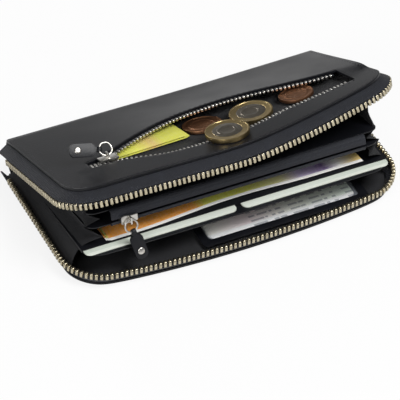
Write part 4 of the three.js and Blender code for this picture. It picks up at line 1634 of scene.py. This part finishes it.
@dataclass
class Studio:
    """The pale floor, the soft lights and the photograph's camera.

    The camera's distance and target are in millimetres, and the lamps and the floor in metres.
    """

    azimuth: float = -27.8
    elevation: float = 42.0
    roll: float = 2.6
    distance: float = 1469.0
    target: Point = (-4.8, -8.8, -3.7)
    lens: float = 249.8
    sensor: float = 36.0
    clip_end: float = 20.0
    floor_size: float = 8.0
    floor_colour: Colour = (0.86, 0.86, 0.86)
    floor_rough: float = 0.9
    seen_glow: float = 0.86
    mirrored_glow: float = 0.12
    world_strength: float = 0.14
    lamps: tuple[tuple[str, Point, float, float], ...] = (
        ("Window", (-0.1, 0.6, 0.3), 0.12, 0.7),
        ("Key", (0.35, -0.5, 1.2), 0.6, 15.0),
        ("Fill", (-0.9, -0.6, 0.6), 0.5, 5.0),
    )

    def build(self) -> None:
        """Builds the camera, floor, world and lights."""
        self.build_camera()
        self.build_floor()
        self.build_world()
        for lamp in self.lamps:
            self.build_lamp(*lamp)
        bpy.context.scene.view_settings.view_transform = "Standard"

    def build_camera(self) -> None:
        """Creates the camera at the photograph's viewing angle."""
        azimuth, elevation = math.radians(self.azimuth), math.radians(self.elevation)
        level = math.cos(elevation)
        back = Vector((math.sin(azimuth) * level, -math.cos(azimuth) * level, math.sin(elevation)))
        data = bpy.data.cameras.new("Camera")
        data.lens = self.lens
        data.sensor_width = self.sensor
        data.clip_end = self.clip_end
        camera = bpy.data.objects.new("Camera", data)
        bpy.context.scene.collection.objects.link(camera)
        camera.location = Vector(self.target) * MM + back * self.distance * MM
        facing = back.to_track_quat("Z", "Y").to_matrix()
        rolled = Euler((0, 0, math.radians(self.roll))).to_matrix()
        camera.rotation_euler = (facing @ rolled).to_euler()
        bpy.context.scene.camera = camera

    def build_floor(self) -> None:
        """Lays the pale floor, which looks near white to the camera and keeps its shadow."""
        bpy.ops.mesh.primitive_plane_add(size=self.floor_size, location=(0, 0, 0))
        floor = bpy.context.active_object
        floor.name = "studio_floor"
        kit = NodeKit("Pale floor")
        kit.plain(Base_Color=(*self.floor_colour, 1.0), Roughness=self.floor_rough)
        path = kit.tree.nodes.new("ShaderNodeLightPath")
        glow = kit.tree.nodes.new("ShaderNodeEmission")
        glow.inputs["Strength"].default_value = 1.0
        blend = kit.tree.nodes.new("ShaderNodeMixShader")
        output = next(n for n in kit.tree.nodes if n.type == "OUTPUT_MATERIAL")
        seen = kit.math("MULTIPLY", path.outputs["Is Camera Ray"], self.seen_glow)
        mirrored = kit.math("MULTIPLY", path.outputs["Is Glossy Ray"], self.mirrored_glow)
        kit.link(kit.math("ADD", seen, mirrored), blend.inputs[0])
        kit.link(kit.shader.outputs[0], blend.inputs[1])
        kit.link(glow.outputs[0], blend.inputs[2])
        kit.link(blend.outputs[0], output.inputs["Surface"])
        floor.data.materials.append(kit.material)

    def build_world(self) -> None:
        """Makes the plain pale surroundings."""
        world = bpy.data.worlds.new("Studio")
        world.use_nodes = True
        bpy.context.scene.world = world
        background = next(n for n in world.node_tree.nodes if n.type == "BACKGROUND")
        background.inputs["Color"].default_value = (1, 1, 1, 1)
        background.inputs["Strength"].default_value = self.world_strength

    @staticmethod
    def build_lamp(name: str, place: Point, size: float, power: float) -> None:
        """Hangs one soft square lamp that faces the wallet.

        Args:
            name: the lamp's name.
            place: where it hangs.
            size: its side.
            power: its power in watts.
        """
        data = bpy.data.lights.new(name, "AREA")
        data.energy = power
        data.size = size
        lamp = bpy.data.objects.new(name, data)
        bpy.context.scene.collection.objects.link(lamp)
        lamp.location = place
        lamp.rotation_euler = Vector(place).to_track_quat("Z", "Y").to_euler()


def main() -> None:
    """Builds the wallet around its frame."""
    logging.basicConfig(level=logging.INFO)
    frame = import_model()
    Studio().build()
    shop = Shop(frame["nodes"], frame["record"]["behaviour"]["bodies"])
    paints = Paints()
    plan = WalletPlan()
    Covers(shop, paints, plan).build()
    ZipRows(shop, paints, plan).build()
    Leaves(shop, paints).build()
    Coins(shop, paints).build()
    Pulls(shop, paints).build()


if __name__ == "__main__":
    main()
